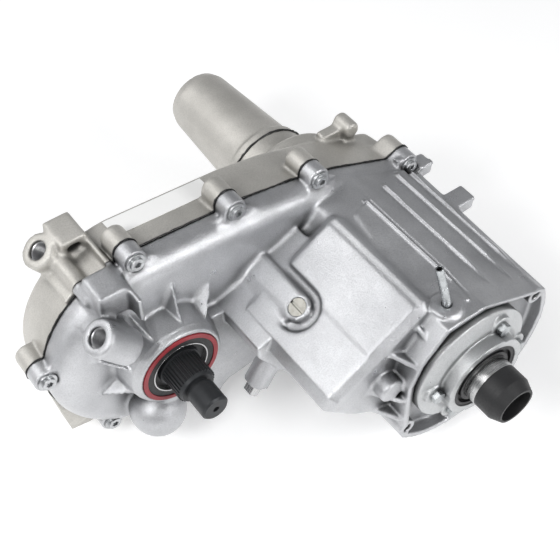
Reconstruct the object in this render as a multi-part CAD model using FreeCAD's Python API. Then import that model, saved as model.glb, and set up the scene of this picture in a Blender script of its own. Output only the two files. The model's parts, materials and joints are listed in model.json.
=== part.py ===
import FreeCAD, Part
import math
import os

# Chain-drive transfer case with its shafts lying along Y.
# Origin: input shaft axis where it crosses the adapter flange face.
# +Y runs to the tail, +X from the front output axis to the input axis, +Z up.

os.makedirs("parts", exist_ok=True)
V = FreeCAD.Vector

# ---------------------------------------------------------------- fits (mm)
SEAT = 0.05            # radial gap of a part seated in a bore
RUN = 0.05             # radial gap of a running shaft
SLIDE = 0.10           # radial gap of a sliding sleeve
SIDE = 0.40            # side gap between turning faces
TIP_GAP = 0.35         # radial gap between chain and sprocket tips

# ---------------------------------------------------------------- main layout
CENTRES = 220.0        # input axis to front output axis
SEAM_Y = 215.0         # joint between the case halves
SEALANT = 0.8          # thickness of the sealant bead in the seam
REAR_WALL_Y = 262.0    # inner face of the rear wall
REAR_WALL_T = 8.0
TAIL_JOINT_Y = REAR_WALL_Y + 56.0   # rear case to extension housing
TAIL_END_Y = TAIL_JOINT_Y + 137.0

# ---------------------------------------------------------------- castings
CASE_WALL = 8.0
CHAIN_END_R = 110.0    # case radius round the front output axis
FLANGE_R = 100.0       # range housing radius at the adapter flange
RANGE_END_R = FLANGE_R + 5.0        # case radius round the input axis
ADAPTER_DEG = (221.0, 270.0, 319.0, 382.0)
ADAPTER_PCR = FLANGE_R - 11.5
ADAPTER_HOLE_R = 5.1   # tapped holes of the adapter flange
ADAPTER_HOLE_Y = 20.0
ADAPTER_LOBE_R = 9.5
RANGE_WALL = 5.5
RANGE_LEFT_X = 73.0    # flat left side of the range housing
ROOF_Z = 73.0          # flat top of the range housing
ROOF_X0 = -35.0
ROOF_X1 = 10.0
ROOF_END_DEG = 22.0    # where the sloping roof meets the round side
SHOULDER_X = -62.0
SHOULDER_Z = 42.0
SHOULDER_LOW_Z = 14.0
CHAIN_FRONT_Y = 187.0  # front face of the chain case
CHAIN_WALL_T = 8.0
# Rounded front edge of the chain case: distance behind the front face, inset.
CHAIN_ROUND = ((0.0, 18.0), (1.5, 12.5), (5.0, 7.0), (10.0, 3.0), (17.0, 0.0))
TOP_KNEE = ((6.0, 77.0), (-47.0, 92.0), (-98.0, 101.0))
REAR_DRAFT = 6.0
REAR_EDGE = 4.0

POCKET_DEPTH = 14.0    # flange pocket that holds the bearing retainer
BULKHEAD_T = 8.0
BULKHEAD_BORE_R = 36.0

BOX_FRONT_Y = 24.0     # selector box
BOX_WALL = 6.0
BOX_ROOF_T = 14.0      # the top of the box is thicker, because the plug valley cuts into it
BOX_EDGE = 7.0         # bevel round the front of the box
BOX_REAR_Y = 157.0     # the box drops here towards the chain case
BOX_DROP = 20.0
BOX_DROP_RUN = 18.0
BOX_STEP_X = (-46.0, -97.0)        # raised panel on top of the box
BOX_STEP_H = 1.6
BOX_POINTS = ((-38.0, 86.0), (-142.0, 25.0), (-148.0, 10.0), (-118.0, -24.0),
              (-88.0, -46.0), (-60.0, -58.0), (-30.0, -58.0), (-20.0, 70.0))
BRIDGE_FRONT_Y = 115.0  # lower bulge that holds the shift sector
BRIDGE_POINTS = ((-60.0, 60.0), (-158.0, 17.0), (-157.0, 2.0), (-119.0, -58.0),
                 (-98.0, -80.0), (-60.0, -86.0))

# ---------------------------------------------------------------- case bolts
BOLT_R = 4.0
BOLT_HEAD_R = 6.6
BOLT_HEAD_H = 5.2
BOLT_WASHER_R = 9.4
BOLT_WASHER_T = 2.2
BOLT_SOCKET_R = 3.8
BOLT_SOCKET_T = 3.6
BOLT_BOSS_R = 12.0
BOLT_WEB_L = 26.0      # block that ties each boss to the case wall
BOLT_WING_L = 25.0     # triangular wings beside the front end of each boss
BOLT_WING_T = 5.0
BOLT_FRONT_Y = 198.0
BOLT_REAR_Y = 239.0
BOLT_LENGTH = 34.0
CASE_BOLTS = ((-228.5, 115.0), (-121.5, 111.0), (-25.0, 93.0), (93.0, 43.0),
              (-332.5, 22.0), (-280.0, -94.0), (-214.0, -116.0), (-120.0, -113.0),
              (-20.0, -111.0), (92.0, -66.0))
DOWEL_R = 4.0
DOWEL_LENGTH = 18.0
DOWELS = ((-276.0, 98.0), (56.0, -88.0))

# ---------------------------------------------------------------- input end
INPUT_R = 25.0         # journal of the input shaft
INPUT_FRONT_Y = -36.0
INPUT_NOSE_R = 19.0
INPUT_NOSE_Y = -52.0
INPUT_BORE_R = 17.0    # female spline for the gearbox output shaft
INPUT_BORE_END_Y = 0.0
INPUT_COLLAR_R = 31.0
INPUT_REAR_Y = 40.0
CAP_R = 24.8
CAP_END_R = 20.0
CAP_END_Y = -65.0
CAP_TAPER_Y = -54.0
CAP_BORE_R = 17.6

RETAINER_R = 65.0
RETAINER_EDGE_Y = -5.0
RETAINER_NECK_R = 50.0
RETAINER_NECK_Y = -11.0
RETAINER_LOBE_R = 11.5
NOSE_R = 44.5
NOSE_Y = -24.0
NOSE_BORE_R = 37.0
RETAINER_BOLT_PCR = 50.5
RETAINER_BOLT_DEG = (179.0, 63.0, 241.0, 357.0)
RETAINER_BOLT_R = 3.5
RETAINER_HEX_R = 6.6
RETAINER_HEX_H = 6.0
RETAINER_SPOT_Y = -12.0
SEAL_T = 10.0
SEAL_LIP_GAP = 0.3

BEARING_BALL_R = 3.4   # ball of the input bearing
BEARING_RACE = 3.9
INPUT_BEARING_W = 16.0
INPUT_BEARING_R = 40.0

# ---------------------------------------------------------------- planetary
MODULE = 1.4
SUN_TEETH = 50
PLANET_TEETH = 18
RING_TEETH = 86
PLANETS = 4
PLANET_DEG0 = 45.0
ADDENDUM = 1.2
DEDENDUM = 1.7
GEAR_FLANK_DEG = 20.0
TOOTH_SHARE = 0.40     # tooth width over pitch, the rest is space and backlash
GEAR_Y0 = 29.0
GEAR_W = 24.0
ANNULUS_R = 66.0
ANNULUS_SUPPORT_R = 73.0
ANNULUS_SUPPORT_Y = 60.0
PLANET_PIN_R = 5.0
CARRIER_R = 57.5
CARRIER_FRONT_T = 5.0
CARRIER_REAR_T = 9.0
CARRIER_POST_R = 4.0
CARRIER_LOW_R = 29.2   # low-range clutch ring inside the carrier
SUN_CLUTCH_R = 29.2    # high-range clutch ring inside the sun gear
SUN_CLUTCH_Y = 40.6

# ---------------------------------------------------------------- shafts
MAIN_R = 20.0
MAIN_PILOT_R = 12.0
MAIN_PILOT_Y = 22.0
MAIN_MID_R = 22.0      # journal under sprocket, pump and rear bearing
MAIN_MID_Y = 168.0
MAIN_TAIL_R = 16.0
TAIL_SPLINES = 30
SPLINE_DEPTH = 1.3

HUB_R = 26.0           # range hub
HUB_CLUTCH_R = 28.8
HUB_CLUTCH_W = 8.0
HUB_FRONT_Y = 42.0
HUB_COLLAR_R = 36.0
HUB_COLLAR_Y = 80.0
HUB_COLLAR_W = 16.0
HUB_GROOVE_R = 31.0
HUB_GROOVE_W = 8.0
RANGE_TRAVEL = 13.0    # high to low

MODE_HUB_Y = 142.0
MODE_HUB_W = 24.0
MODE_HUB_R = 32.0
SLEEVE_Y = 146.0
SLEEVE_W = 36.0
SLEEVE_R = 40.0
SLEEVE_GROOVE_Y = 170.0
SLEEVE_GROOVE_W = 8.0
SLEEVE_GROOVE_R = 35.5
MODE_TRAVEL = 14.0

# ---------------------------------------------------------------- chain drive
SPROCKET_Y = 200.0
SPROCKET_W = 32.0
SPROCKET_R = 51.4
SPROCKET_ROOT_R = 48.8
SPROCKET_TEETH = 35
SPROCKET_CLUTCH_Y = 170.0
CHAIN_T = 8.0
CHAIN_NOTCH = 1.4
CHAIN_LINKS = 82
CHAIN_W = 29.0

# ---------------------------------------------------------------- oil pump, rear
PUMP_Y = REAR_WALL_Y - 22.0
PUMP_R = 46.0
PUMP_ROTOR_R = 32.0
REAR_BEARING_Y = REAR_WALL_Y + 8.0
REAR_BEARING_W = 18.0
REAR_BEARING_R = 40.0
REAR_BOSS_R = 66.0
REAR_BOSS_Y = REAR_WALL_Y + 30.0
TAIL_BOSS_R = 47.0
TAIL_BORE_R = 34.0
EXT_FLANGE_T = 10.0
EXT_R0 = 44.0
EXT_R1 = 36.8
EXT_LIP_R = 33.6
EXT_LIP = 9.0
EXT_BORE_R = 31.0
BUSH_R = 27.0
BUSH_BORE_R = 24.1
BUSH_W = 26.0
BUSH_Y = TAIL_END_Y - 43.0
MAIN_TAIL_Y = REAR_BEARING_Y + REAR_BEARING_W + 4.0
MAIN_END_Y = BUSH_Y - 7.0
TAIL_SEAL_R = 30.0
TAIL_SEAL_W = 11.0
PLUG_R = 24.0
PLUG_RIM_R = 28.0
PLUG_RIM_T = 4.0
EXT_BOLT_DEG = (215.0, 262.0, 308.0, 355.0)
EXT_BOLT_PCR = 51.0
EXT_EAR_R = 9.5
EXT_BOLT_LENGTH = 28.0

# ---------------------------------------------------------------- front output
OUT_SPLINE_R = 20.0
OUT_SPLINES = 32
OUT_END_Y = 95.0
OUT_THREAD_R = 14.0
OUT_SHOULDER_Y = 124.0
OUT_SPLINE_END_Y = 150.0
OUT_JOURNAL_R = 22.0
OUT_REAR_R = 15.0
OUT_REAR_Y = REAR_WALL_Y
OUT_BOSS_Y = 153.0
OUT_BOSS_R = 46.0
OUT_BOSS_BASE_R = 53.0
OUT_GUSSET_DEG = (40.0, 76.0, 113.0, 157.0, 198.0, 240.0, 318.0)
OUT_GUSSET_R = 84.0    # where the gussets run out on the case front
OUT_GUSSET_HALF = 10.0
OUT_SEAL_R = 41.0
OUT_SEAL_W = 11.0
OUT_SEAL_RING = 4.5    # width of the red outer ring
OUT_LIP_R = 29.7
OUT_BEARING_R = 40.0
OUT_BEARING_W = 18.0
OUT_BEARING_Y = 167.0
NEEDLE_R = 21.0
NEEDLE_W = 20.0
NEEDLE_Y = REAR_WALL_Y - 18.0
OUT_REAR_BOSS_R = 40.0
OUT_REAR_BOSS_Y = REAR_WALL_Y + 28.0

# ---------------------------------------------------------------- shift parts
RAIL_X = -84.0
RAIL_Z = -3.0
RAIL_R = 7.0
RAIL_FRONT_Y = 32.0
RAIL_REAR_Y = REAR_WALL_Y + 2.0
RAIL_BOSS_R = 12.0
NOSE_BOSS_X = -85.0    # blind boss between selector box and flange
NOSE_BOSS_Z = 11.0
NOSE_BOSS_Y = 8.0
NOSE_BOSS_R = 12.5
FORK_HUB_R = 12.0
RANGE_FORK_Y0 = 76.0
RANGE_FORK_Y1 = 134.0
MODE_FORK_Y0 = 165.0
MODE_FORK_Y1 = 185.0
FORK_T = 7.0
FORK_RING = 12.0       # radial width of a fork's ring

SELECTOR_X = -144.0    # a point on the selector shaft axis
SELECTOR_Y = 130.0
SELECTOR_Z = -46.0
SELECTOR_DEG = 236.6   # outward direction of the shaft in the XZ plane
SELECTOR_R = 8.0
SELECTOR_PLATE_IN = 44.0
SELECTOR_PLATE_T = 6.0
SELECTOR_OUT = 26.0
SELECTOR_BOSS_R = 13.0
SELECTOR_BOSS_OUT = 14.0
SELECTOR_SEAL_R = 10.8
SELECTOR_PIN_R = 4.0
SELECTOR_PIN_L = 6.0

DETENT_Y = 118.0
DETENT_LIFT = 55.0     # from the rail axis to the plug's outer face
DETENT_R = 5.0
DETENT_PLUG_R = 9.0
DETENT_PLUG_T = 10.0
DETENT_BOSS_R = 13.5
VALLEY_R = 23.0        # hollow beside the plug boss
VALLEY_DEPTH = 8.0     # measured down from the top of the boss

VENT_X = -19.0
VENT_Y = 21.0
VENT_R = 4.2
VENT_H = 46.0
VENT_END_R = 4.0       # hose end of the vent tube
VENT_END_L = 22.0
VENT_BOSS_R = 15.0
VENT_BOSS_H = 4.5

DETENT_PLAY = 2.0      # lift of the plunger
SPRING_WIRE_R = 0.7
SPRING_R = 3.1
SPRING_TURNS = 9
PLUNGER_L = 16.0

TAG_Y0 = 240.0         # blank sticker on the rear case
TAG_Y1 = 264.0
TAG_X0 = -224.0
TAG_X1 = -118.0
TAG_T = 0.5

SERVICE_PLUG_R = 9.0
SERVICE_HEX_R = 12.0
SERVICE_BOSS_R = 17.0
SERVICE_PLUGS = {"fill_plug": (-112.0, 20.0), "drain_plug": (-130.0, -66.0)}

# Threaded mounting ears, radial to the front output axis.
EAR_HOLE_R = 9.25
EAR_HOLE_L = 26.0
EAR_R = 17.5
EAR_LENGTH = 44.0
FRONT_EAR = {"y": 162.0, "deg": 127.0, "reach": 118.5}
REAR_EAR = {"y": 268.0, "deg": 122.6, "reach": 127.0}

# Raised parts on top of the chain end.
RIDGE_X = (-249.0, -243.5)
RIDGE_Y = (160.0, 258.0)
RIDGE_Z = (84.0, 112.0)
PAD_X = (-277.0, -249.0)
PAD_Y = (178.0, 211.0)
PAD_Z = (84.0, 115.0)
LUG_X = (-273.0, -246.0)
LUG_Y = (250.0, 285.0)
LUG_Z = (70.0, 118.0)
LUG_SLOT_X = -260.0
LUG_SLOT_Z = 106.5
LUG_SLOT_R = 4.2
LUG_SLOT_HALF = 2.6
# Foot at the lower corner of the rear case, and the foot beside the front output.
FOOT_POINTS = ((-331.0, -6.0), (-317.0, -98.0), (-297.0, -102.0), (-262.0, -98.0), (-262.0, -6.0))
FOOT_T = 22.0
WEB_POINTS = ((-196.0, 20.0), (-150.0, 16.0), (-118.0, -56.0), (-112.0, -92.0), (-140.0, -97.0),
              (-156.0, -99.0), (-166.0, -108.0), (-170.0, -121.0), (-192.0, -121.0), (-198.0, -60.0))
WEB_Y = 172.0
BULGE = {"x": -243.0, "y": 168.0, "z": -67.0, "r": 28.5}

TOP_BOSS_X = 61.5      # short round boss on top of the rear case
TOP_BOSS_Z = 67.0
TOP_BOSS_Y = 252.0
TOP_BOSS_L = 24.0
TOP_BOSS_R = 9.0

# Ribs on the roof: x, width at the foot, rear end.
ROOF_RIBS = ((4.5, 4.0, 161.0), (9.5, 4.0, 161.0), (40.0, 7.0, 174.0), (68.0, 7.0, 186.0), (86.0, 7.0, 186.0))
RIB_H = 6.0
RIB_RUNOUT = 8.0       # each rib sinks into the roof over this length
ROOF_PAD = ((-14.0, 155.0), (3.0, 160.0), (3.0, 14.0), (-43.0, 26.0))      # x and y of the flat pad beside the ribs
ROOF_PAD_H = 2.0
FLARE_REAR_Y = 79.0    # the outer ribs widen here into long flat points
FLARE_KNEE_Y = 62.0
FLARE_TIP_Y = 9.0
FLARE_HALF = 7.5
# Lugs on the right-hand side of the range housing.
SIDE_LUG_X = (84.0, 119.5)
SIDE_LUG_Y = ((125.0, 147.0), (188.0, 208.0))
SIDE_LUG_Z = (24.0, 40.0)
SIDE_LUG_HOLE_R = 4.5

# ================================================================ helpers


def rod(x, z, y0, y1, r):
    return Part.makeCylinder(r, y1 - y0, V(x, y0, z), V(0, 1, 0))


def ring(x, z, y0, y1, r_in, r_out):
    return rod(x, z, y0, y1, r_out).cut(rod(x, z, y0 - 1, y1 + 1, r_in))


def cone(x, z, y0, y1, r0, r1):
    return Part.makeCone(r0, r1, y1 - y0, V(x, y0, z), V(0, 1, 0))


def box(x0, x1, y0, y1, z0, z1):
    return Part.makeBox(x1 - x0, y1 - y0, z1 - z0, V(x0, y0, z0))


def polygon_wire(points, y):
    loop = [V(p[0], y, p[1]) for p in points]
    return Part.makePolygon(loop + [loop[0]])


def prism(points, y0, y1):
    return Part.Face(polygon_wire(points, y0)).extrude(V(0, y1 - y0, 0))


def span_box(xs, ys, zs):
    return box(xs[0], xs[1], ys[0], ys[1], zs[0], zs[1])


def taper(points0, y0, points1, y1):
    # Ruled body between two polygons with the same number of corners.
    return Part.makeLoft([polygon_wire(points0, y0), polygon_wire(points1, y1)], True, True)


def hull4(a, b, c, d):
    # Tetrahedron with its corners at four points.
    faces = []
    for loop in ((a, b, c), (a, b, d), (b, c, d), (a, c, d)):
        faces.append(Part.Face(Part.makePolygon([loop[0], loop[1], loop[2], loop[0]])))
    solid = Part.makeSolid(Part.makeShell(faces))
    if solid.Volume < 0:
        solid.reverse()
    return solid


def polar(r, degrees, x=0.0, z=0.0):
    a = math.radians(degrees)
    return (x + r * math.cos(a), z + r * math.sin(a))


def pin_along(point, direction, length, r):
    return Part.makeCylinder(r, length, point, direction)


def fuse_all(shapes):
    body = shapes[0].multiFuse(shapes[1:])
    return body.removeSplitter()


def cut_all(body, tools):
    for tool in tools:
        body = body.cut(tool)
    return body


def save(name, shape):
    solids = shape.Solids
    out = solids[0] if len(solids) == 1 else Part.makeCompound(solids)
    out.exportStep("parts/" + name + ".step")


def inset_points(points, gap):
    # Straight-sided inset of a polygon listed anticlockwise or clockwise.
    area = 0.0
    n = len(points)
    for i in range(n):
        a = points[i]
        b = points[(i + 1) % n]
        area += a[0] * b[1] - b[0] * a[1]
    side = 1.0 if area > 0 else -1.0
    moved = []
    for i in range(n):
        a = points[i]
        b = points[(i + 1) % n]
        dx = b[0] - a[0]
        dz = b[1] - a[1]
        length = math.hypot(dx, dz)
        nx = -dz / length * side * gap
        nz = dx / length * side * gap
        moved.append((a[0] + nx, a[1] + nz, dx, dz))
    result = []
    for i in range(n):
        p = moved[i - 1]
        q = moved[i]
        det = p[2] * q[3] - p[3] * q[2]
        t = ((q[0] - p[0]) * q[3] - (q[1] - p[1]) * q[2]) / det
        result.append((p[0] + p[2] * t, p[1] + p[3] * t))
    return result


def arc_wire(y, parts):
    # parts: ("line", end) or ("arc", middle, end); starts at the last end.
    def at(p):
        return V(p[0], y, p[1])
    edges = []
    here = parts[-1][-1]
    for item in parts:
        if item[0] == "line":
            edges.append(Part.LineSegment(at(here), at(item[1])).toShape())
        else:
            edges.append(Part.Arc(at(here), at(item[1]), at(item[2])).toShape())
        here = item[-1]
    return Part.Wire(edges)


def range_wire(y, radius, inset):
    # Section of the range housing.
    r = radius - inset
    left = RANGE_LEFT_X - inset
    low_z = -math.sqrt(r * r - left * left)
    end = polar(r, ROOF_END_DEG)
    return arc_wire(y, [
        ("line", (-left, low_z)),
        ("arc", polar(r, -60.0), end),
        ("line", (ROOF_X1, ROOF_Z - inset)),
        ("line", (ROOF_X0 + 0.4 * inset, ROOF_Z - inset)),
        ("line", (SHOULDER_X + inset * 0.75, SHOULDER_Z - inset * 0.5)),
        ("line", (-left, SHOULDER_LOW_Z)),
    ])


def range_prism(y0, y1, radius0, radius1, inset):
    wires = [range_wire(y0, radius0, inset), range_wire(y1, radius1, inset)]
    return Part.makeLoft(wires, True, True)


def case_wire(y, inset):
    # Outline of the whole chain case round both shafts.
    rl = CHAIN_END_R - inset
    rr = RANGE_END_R - inset
    knees = [(p[0], p[1] - inset) for p in TOP_KNEE]
    return arc_wire(y, [
        ("arc", (-CENTRES - rl, 0.0), (-CENTRES, -rl)),
        ("line", (0.0, -rr)),
        ("arc", polar(rr, -35.0), polar(rr, ROOF_END_DEG)),
        ("line", knees[0]),
        ("line", knees[1]),
        ("line", knees[2]),
        ("line", (-CENTRES, rl)),
    ])


def case_prism(stations):
    # stations: (y, inset) pairs joined by ruled walls.
    parts = []
    for i in range(len(stations) - 1):
        a = stations[i]
        b = stations[i + 1]
        wires = [case_wire(a[0], a[1]), case_wire(b[0], b[1])]
        parts.append(Part.makeLoft(wires, True, True))
    return fuse_all(parts) if len(parts) > 1 else parts[0]


def gear_points(teeth, internal, start_deg, x=0.0, z=0.0):
    pitch_r = MODULE * teeth / 2.0
    step = 2 * math.pi / teeth
    half = TOOTH_SHARE * step / 2.0
    flank = math.tan(math.radians(GEAR_FLANK_DEG))
    tip_r = pitch_r - ADDENDUM if internal else pitch_r + ADDENDUM
    root_r = pitch_r + DEDENDUM if internal else pitch_r - DEDENDUM
    tip_half = half - ADDENDUM * flank / pitch_r
    root_half = half + DEDENDUM * flank / pitch_r
    points = []
    for i in range(teeth):
        a = math.radians(start_deg) + i * step
        for r, d in ((root_r, -root_half), (tip_r, -tip_half), (tip_r, tip_half), (root_r, root_half)):
            points.append((x + r * math.cos(a + d), z + r * math.sin(a + d)))
    return points


def spline_points(count, r_out, r_in, x=0.0, z=0.0):
    points = []
    step = 2 * math.pi / count
    for i in range(count):
        for share, r in ((-0.30, r_in), (-0.18, r_out), (0.18, r_out), (0.30, r_in)):
            a = (i + share) * step
            points.append((x + r * math.cos(a), z + r * math.sin(a)))
    return points


def ball_bearing(x, z, y0, width, r_in, r_out, race, balls):
    ball_r = (r_out - r_in) / 2.0 - race - 0.05
    mid_r = (r_in + r_out) / 2.0
    parts = [ring(x, z, y0, y0 + width, r_in, r_in + race),
             ring(x, z, y0, y0 + width, r_out - race, r_out)]
    for i in range(balls):
        p = polar(mid_r, i * 360.0 / balls, x, z)
        parts.append(Part.makeSphere(ball_r, V(p[0], y0 + width / 2.0, p[1])))
    return Part.makeCompound(parts)


def socket_bolt(x, z, head_y, length):
    # Flanged bolt that points along +Y; head_y is the seat under the washer face.
    body = fuse_all([
        rod(x, z, head_y - BOLT_WASHER_T, head_y, BOLT_WASHER_R),
        rod(x, z, head_y - BOLT_HEAD_H, head_y - BOLT_WASHER_T, BOLT_HEAD_R),
        rod(x, z, head_y, head_y + length, BOLT_R - SEAT),
    ])
    star = [polar(BOLT_SOCKET_R if i % 2 == 0 else BOLT_SOCKET_R * 0.72, i * 30.0, x, z) for i in range(12)]
    return body.cut(prism(star, head_y - BOLT_HEAD_H - 1, head_y - BOLT_HEAD_H + BOLT_SOCKET_T))


def hex_bolt(x, z, head_y, length, hex_r, hex_h, r, into=1.0):
    # Hex bolt with its seat at head_y; into = +1 points along +Y, -1 along -Y.
    hexagon = [polar(hex_r, 30.0 + i * 60.0, x, z) for i in range(6)]
    if into > 0:
        head = prism(hexagon, head_y - hex_h, head_y)
        shank = rod(x, z, head_y, head_y + length, r)
    else:
        head = prism(hexagon, head_y, head_y + hex_h)
        shank = rod(x, z, head_y - length, head_y, r)
    return head.fuse(shank)


SUN_R = MODULE * SUN_TEETH / 2.0
PLANET_R = MODULE * PLANET_TEETH / 2.0
RING_R = MODULE * RING_TEETH / 2.0
PLANET_PCR = SUN_R + PLANET_R
GEAR_Y1 = GEAR_Y0 + GEAR_W
PLANET_ANGLES = [PLANET_DEG0 + i * 360.0 / PLANETS for i in range(PLANETS)]
OUT_X = -CENTRES
SEAM_FRONT = SEAM_Y - SEALANT / 2.0
SEAM_REAR = SEAM_Y + SEALANT / 2.0
BULKHEAD_Y = POCKET_DEPTH + BULKHEAD_T
REAR_FACE_Y = REAR_WALL_Y + REAR_WALL_T

SEL_OUT = V(math.cos(math.radians(SELECTOR_DEG)), 0, math.sin(math.radians(SELECTOR_DEG)))
SEL_IN = SEL_OUT * -1.0
SEL_SIDE = V(SEL_IN.z, 0, -SEL_IN.x)
SEL_POINT = V(SELECTOR_X, SELECTOR_Y, SELECTOR_Z)
RAIL_POINT = V(RAIL_X, SELECTOR_Y, RAIL_Z)
SEL_RAIL_IN = (RAIL_POINT - SEL_POINT).dot(SEL_IN)
SELECTOR_ARM = (RAIL_POINT - SEL_POINT).dot(SEL_SIDE)
SELECTOR_TURN = math.degrees(2.0 * math.asin(RANGE_TRAVEL / 2.0 / SELECTOR_ARM))
PIN_Y = SELECTOR_Y - SELECTOR_ARM * math.sin(math.radians(SELECTOR_TURN / 2.0))
PIN_REACH = SELECTOR_ARM * math.cos(math.radians(SELECTOR_TURN / 2.0))

BOX_TOP = (V(BOX_POINTS[0][0], 0, BOX_POINTS[0][1]) - V(BOX_POINTS[1][0], 0, BOX_POINTS[1][1])).normalize()
BOX_NORMAL = V(-BOX_TOP.z, 0, BOX_TOP.x)
DETENT_POINT = V(RAIL_X, DETENT_Y, RAIL_Z)


# ================================================================ front case


def radial_boss(x, z, centre_y, degrees, reach, r, depth):
    a = math.radians(degrees)
    out = V(math.cos(a), 0, math.sin(a))
    start = V(x, centre_y, z) + out * (reach - depth)
    return pin_along(start, out, depth, r)


def ear_boss(ear):
    return radial_boss(OUT_X, 0, ear["y"], ear["deg"], ear["reach"], EAR_R, EAR_LENGTH)


def ear_web(ear, end_y):
    # Column that joins an ear to the case wall.
    a = math.radians(ear["deg"])
    out = V(math.cos(a), 0, math.sin(a))
    side = V(-out.z, 0, out.x) * (EAR_R * 0.8)
    root = V(OUT_X, ear["y"], 0) + out * (ear["reach"] - EAR_LENGTH)
    tip = root + out * (EAR_LENGTH * 0.7)
    loop = [root - side, root + side, tip + side, tip - side, root - side]
    return Part.Face(Part.makePolygon(loop)).extrude(V(0, end_y - ear["y"], 0))


def ear_hole(ear):
    return radial_boss(OUT_X, 0, ear["y"], ear["deg"], ear["reach"] + 1.0, EAR_HOLE_R, EAR_HOLE_L + 1.0)


def output_gussets():
    # Pyramids that lean from the collar down to the case front.
    plates = []
    foot_y = CHAIN_FRONT_Y + 4.0
    for degrees in OUT_GUSSET_DEG:
        root = polar(OUT_BOSS_R - 3.0, degrees, OUT_X)
        tip = polar(OUT_GUSSET_R, degrees, OUT_X)
        out = V(tip[0] - root[0], 0, tip[1] - root[1]).normalize()
        side = V(-out.z, 0, out.x) * OUT_GUSSET_HALF
        low = V(root[0], foot_y, root[1])
        peak = V(root[0], OUT_BOSS_Y + 4.0, root[1])
        plates.append(hull4(low - side, low + side, peak, V(tip[0], foot_y, tip[1])))
    return plates


def bolt_outward(p):
    # Direction from the line between both shafts to a case bolt.
    x = min(0.0, max(OUT_X, p[0]))
    return V(p[0] - x, 0, p[1]).normalize()


def bolt_boss(p, y0, y1, trim=0.0):
    # Round boss of a case bolt with the block that ties it to the wall.
    out = bolt_outward(p)
    side = V(-out.z, 0, out.x) * (BOLT_BOSS_R - trim)
    centre = V(p[0], y0, p[1])
    inner = centre - out * BOLT_WEB_L
    loop = [centre - side, centre + side, inner + side, inner - side, centre - side]
    block = Part.Face(Part.makePolygon(loop)).extrude(V(0, y1 - y0, 0))
    return [rod(p[0], p[1], y0, y1, BOLT_BOSS_R - trim), block]


def bolt_wings(p):
    # Thin triangular wings where the boss runs out on the rounded front.
    out = bolt_outward(p)
    side = V(-out.z, 0, out.x)
    centre = V(p[0], BOLT_FRONT_Y + 1.0, p[1])
    top = centre + out * (BOLT_BOSS_R * 0.55)
    foot = centre - out * (BOLT_BOSS_R * 0.9)
    loop = [foot - side * BOLT_WING_L, top, foot + side * BOLT_WING_L, foot - side * BOLT_WING_L]
    return Part.Face(Part.makePolygon(loop)).extrude(V(0, BOLT_WING_T, 0))


def roof_z(x, radius):
    # Height of the sloping roof of the range housing.
    end = polar(radius, ROOF_END_DEG)
    share = min(1.0, max(0.0, (x - ROOF_X1) / (end[0] - ROOF_X1)))
    return ROOF_Z + (end[1] - ROOF_Z) * share


def roof_rib(x, width, end_y):
    # Ridge along Y; the outer ones widen near the flange into a long flat point.
    def section(y, radius, half, rise):
        z = roof_z(x, radius)
        return [(x - half, z - 10.0), (x + half, z - 10.0), (x + half, z - half * 0.5), (x, z + rise),
                (x - half, z - half * 0.5)]
    flared = x > 2.0 * ROOF_X1
    front_y = FLARE_REAR_Y if flared else FLARE_TIP_Y + 45.0
    parts = [taper(section(front_y, FLANGE_R, width / 2.0, RIB_H), front_y,
                   section(end_y, RANGE_END_R, width / 2.0, RIB_H), end_y),
             taper(section(end_y, RANGE_END_R, width / 2.0, RIB_H), end_y,
                   section(end_y + RIB_RUNOUT, RANGE_END_R, width / 2.0, -1.0), end_y + RIB_RUNOUT)]
    if flared:
        z = roof_z(x, FLANGE_R)
        left = V(x - FLARE_HALF, FLARE_KNEE_Y, z - 3.0)
        right = V(x + FLARE_HALF, FLARE_KNEE_Y, z - 3.0)
        top = V(x, FLARE_KNEE_Y, z + RIB_H)
        deep = V(x, FLARE_KNEE_Y, z - 9.0)
        for end in (V(x, FLARE_TIP_Y, z - 1.0), V(x, FLARE_REAR_Y + 6.0, z + RIB_H - 1.0)):
            parts.append(hull4(left, right, top, end))
            parts.append(hull4(left, right, deep, end))
    else:
        parts.append(taper(section(FLARE_TIP_Y, FLANGE_R, width / 2.0, -1.0), FLARE_TIP_Y,
                           section(front_y, FLANGE_R, width / 2.0, RIB_H), front_y))
    return parts


def box_outline(drop):
    # Section of the selector box with its top lowered by drop.
    top = BOX_NORMAL * -drop
    points = [(p[0], p[1]) for p in BOX_POINTS]
    for i in (0, 1):
        points[i] = (BOX_POINTS[i][0] + top.x, BOX_POINTS[i][1] + top.z)
    last = BOX_POINTS[-1]
    points[-1] = (last[0], last[1] - drop)
    return points


def on_box(x, lift):
    # Point above the sloping top of the box at this x.
    edge = BOX_POINTS[0]
    run = (edge[0] - x) / BOX_TOP.x
    foot = V(edge[0], 0, edge[1]) - BOX_TOP * run
    p = foot + BOX_NORMAL * lift
    return (p.x, p.z)


def selector_box():
    full = box_outline(0.0)
    low = box_outline(BOX_DROP)
    inner = inset_points(full, BOX_EDGE)
    parts = [
        taper(inner, BOX_FRONT_Y, full, BOX_FRONT_Y + BOX_EDGE),
        prism(full, BOX_FRONT_Y + BOX_EDGE, BOX_REAR_Y),
        taper(full, BOX_REAR_Y, low, BOX_REAR_Y + BOX_DROP_RUN),
        prism(low, BOX_REAR_Y + BOX_DROP_RUN, CHAIN_FRONT_Y + CHAIN_WALL_T),
    ]
    x0, x1 = BOX_STEP_X
    panel = [on_box(x0 + 2.0, -4.0), on_box(x0, BOX_STEP_H), on_box(x1, BOX_STEP_H), on_box(x1 - 2.0, -4.0)]
    parts.append(prism(panel, BOX_FRONT_Y + BOX_EDGE, BOX_REAR_Y))
    return parts


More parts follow.
